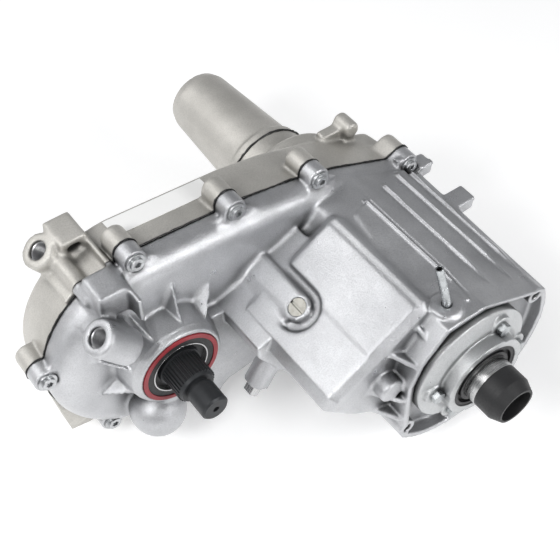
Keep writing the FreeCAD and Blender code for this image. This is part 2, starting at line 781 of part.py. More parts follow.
def plug_valley():
    # Hollow round the right side and the front of the plug boss.
    base = DETENT_POINT + BOX_NORMAL * (DETENT_LIFT - VALLEY_DEPTH)
    round_part = pin_along(base, BOX_NORMAL, VALLEY_DEPTH + 8.0, VALLEY_R)
    right = base + BOX_TOP * VALLEY_R
    far = V(0, BOX_REAR_Y + BOX_DROP_RUN - DETENT_Y, 0)
    loop = [base, right, right + far, base + far, base]
    strip = Part.Face(Part.makePolygon(loop)).extrude(BOX_NORMAL * (VALLEY_DEPTH + 8.0))
    return [round_part, strip]


def plug_tongue():
    # Broad raised tongue that carries the detent plug, falling away to the left.
    seat = DETENT_POINT + BOX_NORMAL * DETENT_LIFT
    parts = [pin_along(seat - BOX_NORMAL * 30.0, BOX_NORMAL, 30.0, DETENT_BOSS_R)]
    loop = []
    for along, lift in ((DETENT_BOSS_R, -20.0), (DETENT_BOSS_R, -2.5), (DETENT_BOSS_R - 3.0, 0.0),
                        (-DETENT_BOSS_R + 6.0, 0.0), (-DETENT_BOSS_R - 22.0, -7.0),
                        (-DETENT_BOSS_R - 22.0, -20.0)):
        p = seat + BOX_TOP * along + BOX_NORMAL * lift
        loop.append((p.x, p.z))
    parts.append(prism(loop, DETENT_Y, CHAIN_FRONT_Y + 1.0))
    return parts


def chain_front(inset):
    # Stations of the chain case front for an outline drawn in by this much.
    stations = []
    for back, draw in CHAIN_ROUND:
        stations.append((CHAIN_FRONT_Y + back, draw + inset))
    stations.append((SEAM_FRONT, inset))
    return stations


def case_webs():
    # Thin webs between the selector box and the adapter flange.
    webs = []
    for x0, z0, x1, z1 in ((-44.0, 48.0, -52.0, 72.0), (-62.0, 36.0, -86.0, 50.0), (-74.0, -8.0, -112.0, 12.0),
                           (-72.0, -40.0, -100.0, -30.0)):
        d = V(x1 - x0, 0, z1 - z0).normalize()
        side = V(-d.z, 0, d.x) * 2.5
        a = V(x0, 3.0, z0) - d * 6.0 - side
        b = V(x0, BOX_FRONT_Y + 8.0, z0) - d * 6.0 - side
        c = V(x1, BOX_FRONT_Y + 8.0, z1) - side
        e = V(x0, 3.0, z0) + d * 4.0 - side
        webs.append(Part.Face(Part.makePolygon([a, b, c, e, a])).extrude(side * 2.0))
    return webs


def front_case():
    parts = [
        range_prism(0.0, CHAIN_FRONT_Y + CHAIN_WALL_T, FLANGE_R, RANGE_END_R, 0.0),
        prism(BRIDGE_POINTS, BRIDGE_FRONT_Y, CHAIN_FRONT_Y + CHAIN_WALL_T),
        case_prism(chain_front(0.0)),
        cone(OUT_X, 0, OUT_BOSS_Y + 6.0, CHAIN_FRONT_Y + 1.0, OUT_BOSS_R + 2.0, OUT_BOSS_BASE_R),
        rod(OUT_X, 0, OUT_BOSS_Y, OUT_BOSS_Y + 8.0, OUT_BOSS_R),
    ]
    parts += selector_box()
    parts += output_gussets()
    for p in CASE_BOLTS:
        parts += bolt_boss(p, BOLT_FRONT_Y, SEAM_FRONT)
        parts.append(bolt_wings(p))
    for x, width, end_y in ROOF_RIBS:
        parts += roof_rib(x, width, end_y)
    # Boss of the selector shaft, blind boss and webs at the front of the box.
    parts.append(pin_along(SEL_POINT + SEL_IN * 28.0, SEL_OUT, 28.0 + SELECTOR_BOSS_OUT, SELECTOR_BOSS_R))
    parts.append(rod(NOSE_BOSS_X, NOSE_BOSS_Z, NOSE_BOSS_Y, BOX_FRONT_Y + 8.0, NOSE_BOSS_R))
    parts += case_webs()
    parts.append(Part.makeCylinder(VENT_BOSS_R, 12.0 + VENT_BOSS_H, V(VENT_X, VENT_Y, ROOF_Z - 12.0), V(0, 0, 1)))
    pad = [V(p[0], p[1], ROOF_Z - 4.0) for p in ROOF_PAD + ROOF_PAD[:1]]
    parts.append(Part.Face(Part.makePolygon(pad)).extrude(V(0, 0, 4.0 + ROOF_PAD_H)))
    # Threaded mounting ear, ridge and pad at the chain end.
    parts.append(ear_boss(FRONT_EAR))
    parts.append(ear_web(FRONT_EAR, CHAIN_FRONT_Y + 12.0))
    parts.append(span_box(RIDGE_X, (RIDGE_Y[0], SEAM_FRONT), RIDGE_Z))
    parts.append(span_box(PAD_X, PAD_Y, PAD_Z))
    for ys in SIDE_LUG_Y:
        parts.append(span_box(SIDE_LUG_X, ys, SIDE_LUG_Z))
    parts.append(Part.makeSphere(BULGE["r"], V(BULGE["x"], BULGE["y"], BULGE["z"])))
    parts.append(prism(WEB_POINTS, WEB_Y, CHAIN_FRONT_Y + 6.0))
    body = fuse_all(parts)

    wall = CHAIN_FRONT_Y + CHAIN_WALL_T
    cavity = inset_points(box_outline(BOX_ROOF_T - BOX_WALL), BOX_WALL)
    low_cavity = inset_points(box_outline(BOX_DROP + BOX_ROOF_T - BOX_WALL), BOX_WALL)
    annulus_rest = rod(0, 0, 0.0, ANNULUS_SUPPORT_Y, ANNULUS_SUPPORT_R)
    cuts = plug_valley() + [
        range_prism(-1.0, POCKET_DEPTH, FLANGE_R, FLANGE_R, RANGE_WALL),
        rod(0, 0, POCKET_DEPTH - 1.0, BULKHEAD_Y + 1.0, BULKHEAD_BORE_R),
        rod(0, 0, BULKHEAD_Y, ANNULUS_SUPPORT_Y + 1.0, ANNULUS_R + SEAT),
        range_prism(ANNULUS_SUPPORT_Y, SEAM_Y, FLANGE_R, RANGE_END_R, RANGE_WALL + 1.5),
        prism(cavity, BOX_FRONT_Y + 10.0, BOX_REAR_Y - 4.0).cut(annulus_rest),
        prism(low_cavity, BOX_FRONT_Y + 10.0, SEAM_Y).cut(annulus_rest),
        prism(inset_points(BRIDGE_POINTS, BOX_WALL), BRIDGE_FRONT_Y + BOX_WALL, SEAM_Y),
        case_prism([(wall, CASE_WALL + CHAIN_WALL_T), (wall + 8.0, CASE_WALL), (SEAM_Y + 1.0, CASE_WALL)]),
    ]
    low_void = range_prism(BULKHEAD_Y, ANNULUS_SUPPORT_Y + 1.0, FLANGE_R, FLANGE_R, RANGE_WALL + 1.5)
    low_half = box(ROOF_X0 - 5.0, FLANGE_R + 10.0, 0.0, ANNULUS_SUPPORT_Y + 10.0, -FLANGE_R - 10.0, 20.0)
    cuts.append(low_void.common(low_half).cut(rod(0, 0, 0.0, 2.0 * ANNULUS_SUPPORT_Y, ANNULUS_SUPPORT_R)))
    body = body.cut(fuse_all(cuts))

    adds = plug_tongue() + [
        rod(RAIL_X, RAIL_Z, BOX_FRONT_Y + 9.0, BOX_FRONT_Y + 24.0, RAIL_BOSS_R),
        rod(OUT_X, 0, CHAIN_FRONT_Y - 4.0, wall, OUT_BEARING_R + 8.0),
    ]
    for degrees in ADAPTER_DEG:
        p = polar(ADAPTER_PCR, degrees)
        adds.append(rod(p[0], p[1], 1.0, BULKHEAD_Y + 1.0, ADAPTER_LOBE_R))
    for p in CASE_BOLTS:
        adds.append(rod(p[0], p[1], BOLT_FRONT_Y, SEAM_FRONT, BOLT_BOSS_R - 2.0))
    for p in DOWELS:
        adds.append(rod(p[0], p[1], wall - 1.0, SEAM_FRONT, DOWEL_R + 4.0))
    for degrees in RETAINER_BOLT_DEG:
        p = polar(RETAINER_BOLT_PCR, degrees)
        adds.append(rod(p[0], p[1], POCKET_DEPTH, BULKHEAD_Y + 0.5, 8.0))
    adds.append(pin_along(DETENT_POINT + BOX_NORMAL * (FORK_HUB_R + 4.0), BOX_NORMAL, DETENT_LIFT - 24.0,
                          DETENT_R + 3.5))
    body = fuse_all([body] + adds)

    plug_seat = DETENT_POINT + BOX_NORMAL * (DETENT_LIFT - DETENT_PLUG_T)
    lug_y = (SIDE_LUG_Y[0][0] + SIDE_LUG_Y[0][1]) / 2.0
    lug_z = (SIDE_LUG_Z[0] + SIDE_LUG_Z[1]) / 2.0
    holes = [
        rod(RAIL_X, RAIL_Z, RAIL_FRONT_Y, BOX_FRONT_Y + 30.0, RAIL_R + SEAT),
        rod(OUT_X, 0, OUT_BOSS_Y - 1.0, OUT_BEARING_Y, OUT_SEAL_R + SEAT),
        rod(OUT_X, 0, OUT_BEARING_Y - 1.0, OUT_BEARING_Y + OUT_BEARING_W, OUT_BEARING_R + SEAT),
        rod(OUT_X, 0, OUT_BEARING_Y, SEAM_Y, OUT_BEARING_R - 6.0),
        pin_along(SEL_POINT + SEL_IN * 34.0, SEL_OUT, 34.0 + SELECTOR_BOSS_OUT + 1.0, SELECTOR_R + RUN),
        pin_along(SEL_POINT + SEL_OUT * (SELECTOR_BOSS_OUT - 4.0), SEL_OUT, 5.0, SELECTOR_SEAL_R + SEAT),
        pin_along(DETENT_POINT + BOX_NORMAL * FORK_HUB_R, BOX_NORMAL, DETENT_LIFT, DETENT_R + SLIDE),
        pin_along(plug_seat, BOX_NORMAL, DETENT_PLUG_T + 1.0, DETENT_PLUG_R + SEAT),
        Part.makeCylinder(VENT_R + SEAT, 30.0, V(VENT_X, VENT_Y, ROOF_Z - 8.0), V(0, 0, 1)),
        ear_hole(FRONT_EAR),
        pin_along(V(FLANGE_R + 4.0, lug_y, lug_z), V(1, 0, 0), 30.0, SIDE_LUG_HOLE_R),
    ]
    for p in CASE_BOLTS:
        holes.append(rod(p[0], p[1], BOLT_FRONT_Y - 12.0, BOLT_FRONT_Y, BOLT_WASHER_R + 0.8))
        holes.append(rod(p[0], p[1], BOLT_FRONT_Y - 1.0, SEAM_Y, BOLT_R))
    for p in DOWELS:
        holes.append(rod(p[0], p[1], SEAM_Y - DOWEL_LENGTH / 2.0, SEAM_Y, DOWEL_R + SEAT))
    for degrees in ADAPTER_DEG:
        p = polar(ADAPTER_PCR, degrees)
        holes.append(rod(p[0], p[1], -1.0, ADAPTER_HOLE_Y, ADAPTER_HOLE_R))
    for degrees in RETAINER_BOLT_DEG:
        p = polar(RETAINER_BOLT_PCR, degrees)
        holes.append(rod(p[0], p[1], POCKET_DEPTH - 1.0, BULKHEAD_Y + 1.0, RETAINER_BOLT_R))
    body = cut_all(body, holes)
    return max(body.Solids, key=lambda s: s.Volume)


# ================================================================ rear case


def rear_inset(y):
    return REAR_DRAFT * (y - SEAM_REAR) / (REAR_FACE_Y - REAR_EDGE - SEAM_REAR)


def rear_case():
    parts = [
        case_prism([(SEAM_REAR, 0.0), (REAR_FACE_Y - REAR_EDGE, REAR_DRAFT), (REAR_FACE_Y, REAR_DRAFT + REAR_EDGE)]),
        rod(0, 0, REAR_WALL_Y, REAR_BOSS_Y - 8.0, REAR_BOSS_R),
        cone(0, 0, REAR_BOSS_Y - 8.0, REAR_BOSS_Y, REAR_BOSS_R, REAR_BOSS_R - 8.0),
        rod(0, 0, REAR_WALL_Y, TAIL_JOINT_Y, TAIL_BOSS_R),
        rod(OUT_X, 0, REAR_WALL_Y, OUT_REAR_BOSS_Y - 8.0, OUT_REAR_BOSS_R),
        cone(OUT_X, 0, OUT_REAR_BOSS_Y - 8.0, OUT_REAR_BOSS_Y, OUT_REAR_BOSS_R, OUT_REAR_BOSS_R - 10.0),
        rod(66.0, 8.0, REAR_WALL_Y, REAR_FACE_Y + 6.0, 27.0),
        cone(66.0, 8.0, REAR_FACE_Y + 6.0, REAR_FACE_Y + 14.0, 27.0, 19.0),
        rod(TOP_BOSS_X, TOP_BOSS_Z, TOP_BOSS_Y, TOP_BOSS_Y + TOP_BOSS_L, TOP_BOSS_R),
        box(TOP_BOSS_X - TOP_BOSS_R + 1.0, TOP_BOSS_X + TOP_BOSS_R - 3.0, TOP_BOSS_Y + 3.0,
            TOP_BOSS_Y + TOP_BOSS_L, 40.0, TOP_BOSS_Z),
        box(TOP_BOSS_X - 32.0, TOP_BOSS_X - 4.0, TOP_BOSS_Y + 9.0, TOP_BOSS_Y + TOP_BOSS_L - 2.0, 40.0, TOP_BOSS_Z + 1.0),
        ear_web(REAR_EAR, SEAM_REAR),
        ear_boss(REAR_EAR),
        span_box(LUG_X, LUG_Y, LUG_Z),
        span_box(RIDGE_X, (SEAM_REAR, RIDGE_Y[1]), RIDGE_Z),
        prism(FOOT_POINTS, SEAM_REAR, SEAM_REAR + FOOT_T),
    ]
    for p in CASE_BOLTS:
        parts += bolt_boss(p, SEAM_REAR, BOLT_REAR_Y)
    for p in SERVICE_PLUGS.values():
        parts.append(rod(p[0], p[1], REAR_WALL_Y, REAR_FACE_Y + 6.0, SERVICE_BOSS_R))
    for degrees in EXT_BOLT_DEG:
        p = polar(EXT_BOLT_PCR, degrees)
        parts.append(rod(p[0], p[1], REAR_BOSS_Y - 6.0, TAIL_JOINT_Y, EXT_EAR_R))
    # Cast ribs on the rear face, between the two bosses.
    for z0, z1 in ((34.0, 30.0), (-34.0, -30.0)):
        rib = ((-CENTRES + 20.0, z0 - 3.0), (-30.0, z1 - 3.0), (-30.0, z1 + 3.0), (-CENTRES + 20.0, z0 + 3.0))
        parts.append(prism(rib, REAR_WALL_Y, REAR_FACE_Y + 4.5))
    body = fuse_all(parts)
    body = body.cut(case_prism([(SEAM_Y - 1.0, CASE_WALL), (REAR_WALL_Y, CASE_WALL + REAR_DRAFT)]))
    adds = [
        rod(OUT_X, 0, NEEDLE_Y - 2.0, REAR_WALL_Y + 1.0, NEEDLE_R + 6.0),
        rod(RAIL_X, RAIL_Z, REAR_WALL_Y - 14.0, REAR_WALL_Y + 1.0, RAIL_BOSS_R),
    ]
    for p in CASE_BOLTS:
        adds.append(rod(p[0], p[1], SEAM_REAR, BOLT_REAR_Y - 4.0, BOLT_BOSS_R - 2.0))
    for p in DOWELS:
        adds.append(rod(p[0], p[1], SEAM_REAR, REAR_WALL_Y + 1.0, DOWEL_R + 4.0))
    body = fuse_all([body] + adds)
    holes = [
        rod(0, 0, REAR_WALL_Y - 1.0, REAR_BEARING_Y + REAR_BEARING_W, REAR_BEARING_R + SEAT),
        rod(0, 0, REAR_BEARING_Y, TAIL_JOINT_Y + 1.0, TAIL_BORE_R),
        rod(OUT_X, 0, NEEDLE_Y - 3.0, OUT_REAR_Y + 2.0, NEEDLE_R + SEAT),
        rod(RAIL_X, RAIL_Z, REAR_WALL_Y - 20.0, RAIL_REAR_Y, RAIL_R + SEAT),
        ear_hole(REAR_EAR),
        box(LUG_SLOT_X - LUG_SLOT_HALF, LUG_SLOT_X + LUG_SLOT_HALF, LUG_Y[0] - 1.0, LUG_Y[1] + 1.0,
            LUG_SLOT_Z - LUG_SLOT_R, LUG_SLOT_Z + LUG_SLOT_R),
    ]
    for shift in (-LUG_SLOT_HALF, LUG_SLOT_HALF):
        holes.append(rod(LUG_SLOT_X + shift, LUG_SLOT_Z, LUG_Y[0] - 1.0, LUG_Y[1] + 1.0, LUG_SLOT_R))
    for p in CASE_BOLTS:
        holes.append(rod(p[0], p[1], SEAM_Y - 1.0, SEAM_Y + BOLT_LENGTH - (SEAM_Y - BOLT_FRONT_Y) + 2.0, BOLT_R))
    for p in DOWELS:
        holes.append(rod(p[0], p[1], SEAM_Y - 1.0, SEAM_Y + DOWEL_LENGTH / 2.0, DOWEL_R + SEAT))
    for p in SERVICE_PLUGS.values():
        holes.append(rod(p[0], p[1], REAR_WALL_Y - 2.0, REAR_FACE_Y + 8.0, SERVICE_PLUG_R + SEAT))
    for degrees in EXT_BOLT_DEG:
        p = polar(EXT_BOLT_PCR, degrees)
        holes.append(rod(p[0], p[1], TAIL_JOINT_Y + EXT_FLANGE_T - EXT_BOLT_LENGTH - 1.0, TAIL_JOINT_Y + 1.0, BOLT_R))
    body = cut_all(body, holes)
    return max(body.Solids, key=lambda s: s.Volume)


def case_sealant():
    skin = [case_prism([(SEAM_FRONT, -0.5), (SEAM_REAR, -0.5)])]
    for p in CASE_BOLTS:
        skin += bolt_boss(p, SEAM_FRONT, SEAM_REAR, -0.3)
    body = fuse_all(skin)
    tools = [case_prism([(SEAM_Y - 2.0, CASE_WALL), (SEAM_Y + 2.0, CASE_WALL)])]
    for p in CASE_BOLTS:
        tools.append(rod(p[0], p[1], SEAM_Y - 2.0, SEAM_Y + 2.0, BOLT_R + 0.5))
    for p in DOWELS:
        tools.append(rod(p[0], p[1], SEAM_Y - 2.0, SEAM_Y + 2.0, DOWEL_R + 0.5))
    body = cut_all(body, tools)
    return max(body.Solids, key=lambda s: s.Volume)


def blank_tag():
    # Blank sticker laid on the drafted top wall.
    outer = case_prism([(TAG_Y0, rear_inset(TAG_Y0) - TAG_T), (TAG_Y1, rear_inset(TAG_Y1) - TAG_T)])
    inner = case_prism([(TAG_Y0, rear_inset(TAG_Y0) - 0.02), (TAG_Y1, rear_inset(TAG_Y1) - 0.02)])
    film = outer.cut(inner).common(box(TAG_X0, TAG_X1, TAG_Y0, TAG_Y1, 60.0, 130.0))
    bosses = bolt_boss(CASE_BOLTS[0], SEAM_Y, BOLT_REAR_Y + 0.3, -0.3)
    bosses += bolt_boss(CASE_BOLTS[1], SEAM_Y, BOLT_REAR_Y + 0.3, -0.3)
    return cut_all(film, bosses)


def extension_housing():
    joint = TAIL_JOINT_Y
    flange_end = joint + EXT_FLANGE_T
    parts = [
        rod(0, 0, joint, flange_end, TAIL_BOSS_R),
        cone(0, 0, flange_end, TAIL_END_Y - EXT_LIP, EXT_R0, EXT_R1),
        cone(0, 0, TAIL_END_Y - EXT_LIP, TAIL_END_Y, EXT_R1, EXT_LIP_R),
    ]
    for degrees in EXT_BOLT_DEG:
        p = polar(EXT_BOLT_PCR, degrees)
        parts.append(rod(p[0], p[1], joint, flange_end, EXT_EAR_R))
    # Two low cast ribs along the barrel.
    for degrees in (118.0, 150.0):
        p = polar(EXT_R1 - 2.0, degrees)
        parts.append(pin_along(V(p[0], flange_end - 2.0, p[1]), V(0, 1, 0), 70.0, 3.4))
    body = fuse_all(parts)
    holes = [
        rod(0, 0, joint - 1.0, joint + 24.0, TAIL_BORE_R),
        rod(0, 0, joint, BUSH_Y, EXT_BORE_R),
        rod(0, 0, BUSH_Y - 1.0, TAIL_END_Y, BUSH_R + SEAT),
        rod(0, 0, TAIL_END_Y - TAIL_SEAL_W - 3.0, TAIL_END_Y + 1.0, TAIL_SEAL_R + SEAT),
    ]
    for degrees in EXT_BOLT_DEG:
        p = polar(EXT_BOLT_PCR, degrees)
        holes.append(rod(p[0], p[1], joint - 1.0, flange_end + 1.0, BOLT_R + 0.2))
        holes.append(rod(p[0], p[1], flange_end, flange_end + 14.0, BOLT_HEAD_R + 2.0))
    return cut_all(body, holes)


# ================================================================ input end

INPUT_BEARING_Y = POCKET_DEPTH - INPUT_BEARING_W - 1.0


def input_bearing_retainer():
    parts = [
        rod(0, 0, RETAINER_EDGE_Y, POCKET_DEPTH, RETAINER_R),
        cone(0, 0, RETAINER_NECK_Y, RETAINER_EDGE_Y, RETAINER_NECK_R, RETAINER_R),
        rod(0, 0, NOSE_Y, RETAINER_EDGE_Y, NOSE_R),
    ]
    for degrees in RETAINER_BOLT_DEG:
        p = polar(RETAINER_BOLT_PCR, degrees)
        parts.append(rod(p[0], p[1], RETAINER_SPOT_Y, POCKET_DEPTH, RETAINER_LOBE_R))
    body = fuse_all(parts)
    holes = [
        rod(0, 0, NOSE_Y - 1.0, NOSE_Y + SEAL_T + 1.0, NOSE_BORE_R + SEAT),
        rod(0, 0, NOSE_Y, POCKET_DEPTH, INPUT_R + 4.0),
        rod(0, 0, INPUT_BEARING_Y, POCKET_DEPTH + 1.0, INPUT_BEARING_R + SEAT),
    ]
    for degrees in RETAINER_BOLT_DEG:
        p = polar(RETAINER_BOLT_PCR, degrees)
        holes.append(rod(p[0], p[1], NOSE_Y - 1.0, RETAINER_SPOT_Y, RETAINER_HEX_R + 1.0))
        holes.append(rod(p[0], p[1], RETAINER_SPOT_Y - 1.0, POCKET_DEPTH + 1.0, RETAINER_BOLT_R + 0.2))
    return cut_all(body, holes)


def retainer_bolts():
    bolts = []
    length = BULKHEAD_Y - RETAINER_SPOT_Y - 1.0
    for degrees in RETAINER_BOLT_DEG:
        p = polar(RETAINER_BOLT_PCR, degrees)
        bolts.append(hex_bolt(p[0], p[1], RETAINER_SPOT_Y, length, RETAINER_HEX_R, RETAINER_HEX_H, RETAINER_BOLT_R - SEAT))
    return Part.makeCompound(bolts)


def input_seal():
    y0 = NOSE_Y + 1.0
    body = ring(0, 0, y0, y0 + SEAL_T, INPUT_R + SEAL_LIP_GAP, NOSE_BORE_R)
    return body.cut(ring(0, 0, y0 - 1.0, y0 + 4.0, INPUT_R + 4.0, NOSE_BORE_R - 4.0))


def input_shaft():
    body = fuse_all([
        rod(0, 0, INPUT_NOSE_Y, INPUT_FRONT_Y, INPUT_NOSE_R),
        rod(0, 0, INPUT_FRONT_Y, POCKET_DEPTH, INPUT_R),
        rod(0, 0, POCKET_DEPTH, GEAR_Y0, INPUT_COLLAR_R),
        rod(0, 0, GEAR_Y0, INPUT_REAR_Y, INPUT_R),
    ])
    body = body.cut(rod(0, 0, INPUT_NOSE_Y - 1.0, INPUT_BORE_END_Y, INPUT_BORE_R))
    return body.cut(rod(0, 0, MAIN_PILOT_Y - 4.0, INPUT_REAR_Y + 1.0, MAIN_PILOT_R + 3.0))


def pilot_bushing():
    return ring(0, 0, MAIN_PILOT_Y - 3.0, INPUT_REAR_Y - 1.0, MAIN_PILOT_R + RUN, MAIN_PILOT_R + 3.0 - SEAT)


def input_cap():
    body = fuse_all([
        rod(0, 0, CAP_TAPER_Y, INPUT_FRONT_Y, CAP_R),
        cone(0, 0, CAP_END_Y, CAP_TAPER_Y, CAP_END_R, CAP_R),
    ])
    body = body.cut(rod(0, 0, INPUT_NOSE_Y, INPUT_FRONT_Y + 1.0, INPUT_NOSE_R + SEAT))
    return body.cut(rod(0, 0, CAP_END_Y - 1.0, INPUT_FRONT_Y, CAP_BORE_R))


# ================================================================ planetary set


def sun_gear():
    body = prism(gear_points(SUN_TEETH, False, 0.0), GEAR_Y0, GEAR_Y1)
    body = body.cut(rod(0, 0, GEAR_Y0 - 1.0, GEAR_Y1, INPUT_R + SEAT))
    return body.cut(rod(0, 0, INPUT_REAR_Y + 0.3, GEAR_Y1 + 1.0, SUN_CLUTCH_R))


def planet_start(degrees):
    # Tooth angle that meshes this planet with a sun tooth at zero degrees.
    step = 360.0 / SUN_TEETH
    offset = round(degrees / step) * step - degrees
    space = degrees + 180.0 - offset * SUN_TEETH / PLANET_TEETH
    return space + 180.0 / PLANET_TEETH


def ring_start():
    degrees = PLANET_ANGLES[0]
    step = 360.0 / PLANET_TEETH
    tooth = planet_start(degrees)
    offset = (tooth - degrees) - round((tooth - degrees) / step) * step
    return degrees + offset * PLANET_TEETH / RING_TEETH + 180.0 / RING_TEETH


def planet_gear(index):
    degrees = PLANET_ANGLES[index]
    p = polar(PLANET_PCR, degrees)
    points = gear_points(PLANET_TEETH, False, planet_start(degrees), p[0], p[1])
    return prism(points, GEAR_Y0, GEAR_Y1).cut(rod(p[0], p[1], GEAR_Y0 - 1.0, GEAR_Y1 + 1.0, PLANET_PIN_R + RUN))


def annulus_gear():
    body = rod(0, 0, GEAR_Y0 - 3.0, GEAR_Y1 + 3.0, ANNULUS_R)
    return body.cut(prism(gear_points(RING_TEETH, True, ring_start()), GEAR_Y0 - 4.0, GEAR_Y1 + 4.0))


def planet_carrier():
    front = GEAR_Y0 - 1.0 - CARRIER_FRONT_T
    rear = GEAR_Y1 + 1.0
    parts = [
        ring(0, 0, front, front + CARRIER_FRONT_T, INPUT_COLLAR_R + RUN, CARRIER_R),
        ring(0, 0, rear, rear + CARRIER_REAR_T, CARRIER_LOW_R, CARRIER_R),
    ]
    for degrees in PLANET_ANGLES:
        p = polar(PLANET_PCR + 2.0, degrees + 180.0 / PLANETS)
        parts.append(rod(p[0], p[1], front, rear + CARRIER_REAR_T, CARRIER_POST_R))
    body = fuse_all(parts)
    for degrees in PLANET_ANGLES:
        p = polar(PLANET_PCR, degrees)
        body = body.cut(rod(p[0], p[1], front - 1.0, rear + CARRIER_REAR_T + 1.0, PLANET_PIN_R + SEAT))
    return body


def planet_pins():
    pins = []
    for degrees in PLANET_ANGLES:
        p = polar(PLANET_PCR, degrees)
        pins.append(rod(p[0], p[1], GEAR_Y0 - 1.0 - CARRIER_FRONT_T, GEAR_Y1 + 1.0 + CARRIER_REAR_T, PLANET_PIN_R))
    return Part.makeCompound(pins)


def range_hub():
    body = fuse_all([
        rod(0, 0, HUB_FRONT_Y, HUB_FRONT_Y + HUB_CLUTCH_W, HUB_CLUTCH_R),
        rod(0, 0, HUB_FRONT_Y + HUB_CLUTCH_W, HUB_COLLAR_Y, HUB_R),
        rod(0, 0, HUB_COLLAR_Y, HUB_COLLAR_Y + HUB_COLLAR_W, HUB_COLLAR_R),
    ])
    y0 = HUB_COLLAR_Y + (HUB_COLLAR_W - HUB_GROOVE_W) / 2.0
    body = body.cut(ring(0, 0, y0, y0 + HUB_GROOVE_W, HUB_GROOVE_R, HUB_COLLAR_R + 5.0))
    return body.cut(rod(0, 0, HUB_FRONT_Y - 1.0, HUB_COLLAR_Y + HUB_COLLAR_W + 1.0, MAIN_R + SLIDE))


# ================================================================ main shaft


def mainshaft():
    pilot_end = INPUT_REAR_Y + 1.0
    return fuse_all([
        rod(0, 0, MAIN_PILOT_Y, pilot_end, MAIN_PILOT_R),
        rod(0, 0, pilot_end, MAIN_MID_Y, MAIN_R),
        rod(0, 0, MAIN_MID_Y, MAIN_TAIL_Y, MAIN_MID_R),
        prism(spline_points(TAIL_SPLINES, MAIN_TAIL_R, MAIN_TAIL_R - SPLINE_DEPTH), MAIN_TAIL_Y, MAIN_END_Y),
    ])


def mode_hub():
    return ring(0, 0, MODE_HUB_Y, MODE_HUB_Y + MODE_HUB_W, MAIN_R + SEAT, MODE_HUB_R)


def mode_sleeve():
    body = ring(0, 0, SLEEVE_Y, SLEEVE_Y + SLEEVE_W, MODE_HUB_R + SLIDE, SLEEVE_R)
    y0 = SLEEVE_GROOVE_Y
    return body.cut(ring(0, 0, y0, y0 + SLEEVE_GROOVE_W, SLEEVE_GROOVE_R, SLEEVE_R + 5.0))


def sprocket_points(x, start_deg):
    points = []
    step = 360.0 / SPROCKET_TEETH
    for i in range(SPROCKET_TEETH):
        for share, r in ((-0.38, SPROCKET_ROOT_R), (-0.14, SPROCKET_R), (0.14, SPROCKET_R), (0.38, SPROCKET_ROOT_R)):
            points.append(polar(r, start_deg + (i + share) * step, x))
    return points


def drive_sprocket():
    body = prism(sprocket_points(0.0, 0.0), SPROCKET_Y, SPROCKET_Y + SPROCKET_W)
    body = body.fuse(rod(0, 0, SPROCKET_CLUTCH_Y, SPROCKET_Y, MODE_HUB_R - SLIDE))
    return body.cut(rod(0, 0, SPROCKET_CLUTCH_Y - 1.0, SPROCKET_Y + SPROCKET_W + 1.0, MAIN_MID_R + RUN))


def driven_sprocket():
    body = prism(sprocket_points(OUT_X, 0.0), SPROCKET_Y, SPROCKET_Y + SPROCKET_W)
    return body.cut(rod(OUT_X, 0, SPROCKET_Y - 1.0, SPROCKET_Y + SPROCKET_W + 1.0, OUT_JOURNAL_R + SEAT))


def loop_points(radius, count, depth):
    # Points round both sprockets, every second pair lowered by depth.
    half = math.pi * radius
    total = 2.0 * (half + CENTRES)
    points = []
    for i in range(count * 2):
        s = total * i / (count * 2)
        low = depth if i % 2 else 0.0
        r = radius - low
        if s < CENTRES:
            points.append((-s, r))
        elif s < CENTRES + half:
            points.append(polar(r, 90.0 + math.degrees((s - CENTRES) / radius), -CENTRES))
        elif s < 2.0 * CENTRES + half:
            points.append((-CENTRES + (s - CENTRES - half), -r))
        else:
            points.append(polar(r, 270.0 + math.degrees((s - 2.0 * CENTRES - half) / radius)))
    return points


def drive_chain():
    y0 = SPROCKET_Y + (SPROCKET_W - CHAIN_W) / 2.0
    inner = SPROCKET_R + TIP_GAP
    outer = prism(loop_points(inner + CHAIN_T, CHAIN_LINKS, CHAIN_NOTCH), y0, y0 + CHAIN_W)
    hollow = fuse_all([
        rod(0, 0, y0 - 1.0, y0 + CHAIN_W + 1.0, inner),
        rod(OUT_X, 0, y0 - 1.0, y0 + CHAIN_W + 1.0, inner),
        box(OUT_X, 0.0, y0 - 1.0, y0 + CHAIN_W + 1.0, -inner, inner),
    ])
    return outer.cut(hollow)


def sprocket_spacer():
    return ring(0, 0, SPROCKET_Y + SPROCKET_W + SIDE, PUMP_Y - SIDE, MAIN_MID_R + SEAT, MAIN_MID_R + 9.0)


# ================================================================ pump and rear


PUMP_SLOT_Y = PUMP_Y + 4.0
PUMP_SLOT_W = 12.0


def oil_pump():
    body = ring(0, 0, PUMP_Y, REAR_WALL_Y, MAIN_MID_R + 0.4, PUMP_R)
    return body.cut(rod(0, 0, PUMP_SLOT_Y, PUMP_SLOT_Y + PUMP_SLOT_W, PUMP_ROTOR_R + RUN))


def pump_rotor():
    points = spline_points(9, PUMP_ROTOR_R, PUMP_ROTOR_R - 5.0)
    body = prism(points, PUMP_SLOT_Y + 0.2, PUMP_SLOT_Y + PUMP_SLOT_W - 0.2)
    return body.cut(rod(0, 0, PUMP_Y, REAR_WALL_Y, MAIN_MID_R + SEAT))


def pump_pickup():
    y = PUMP_SLOT_Y + PUMP_SLOT_W / 2.0
    start = polar(PUMP_R + 0.2, 238.0)
    d = V(start[0], 0, start[1]).normalize()
    tube = pin_along(V(start[0], y, start[1]), d, 42.0, 4.5)
    end = V(start[0], y, start[1]) + d * 40.0
    screen = pin_along(end, d, 7.0, 11.0)
    body = tube.fuse(screen)
    hole = pin_along(V(start[0], y, start[1]) - d, d, 44.0, 3.2)
    return body.cut(hole)


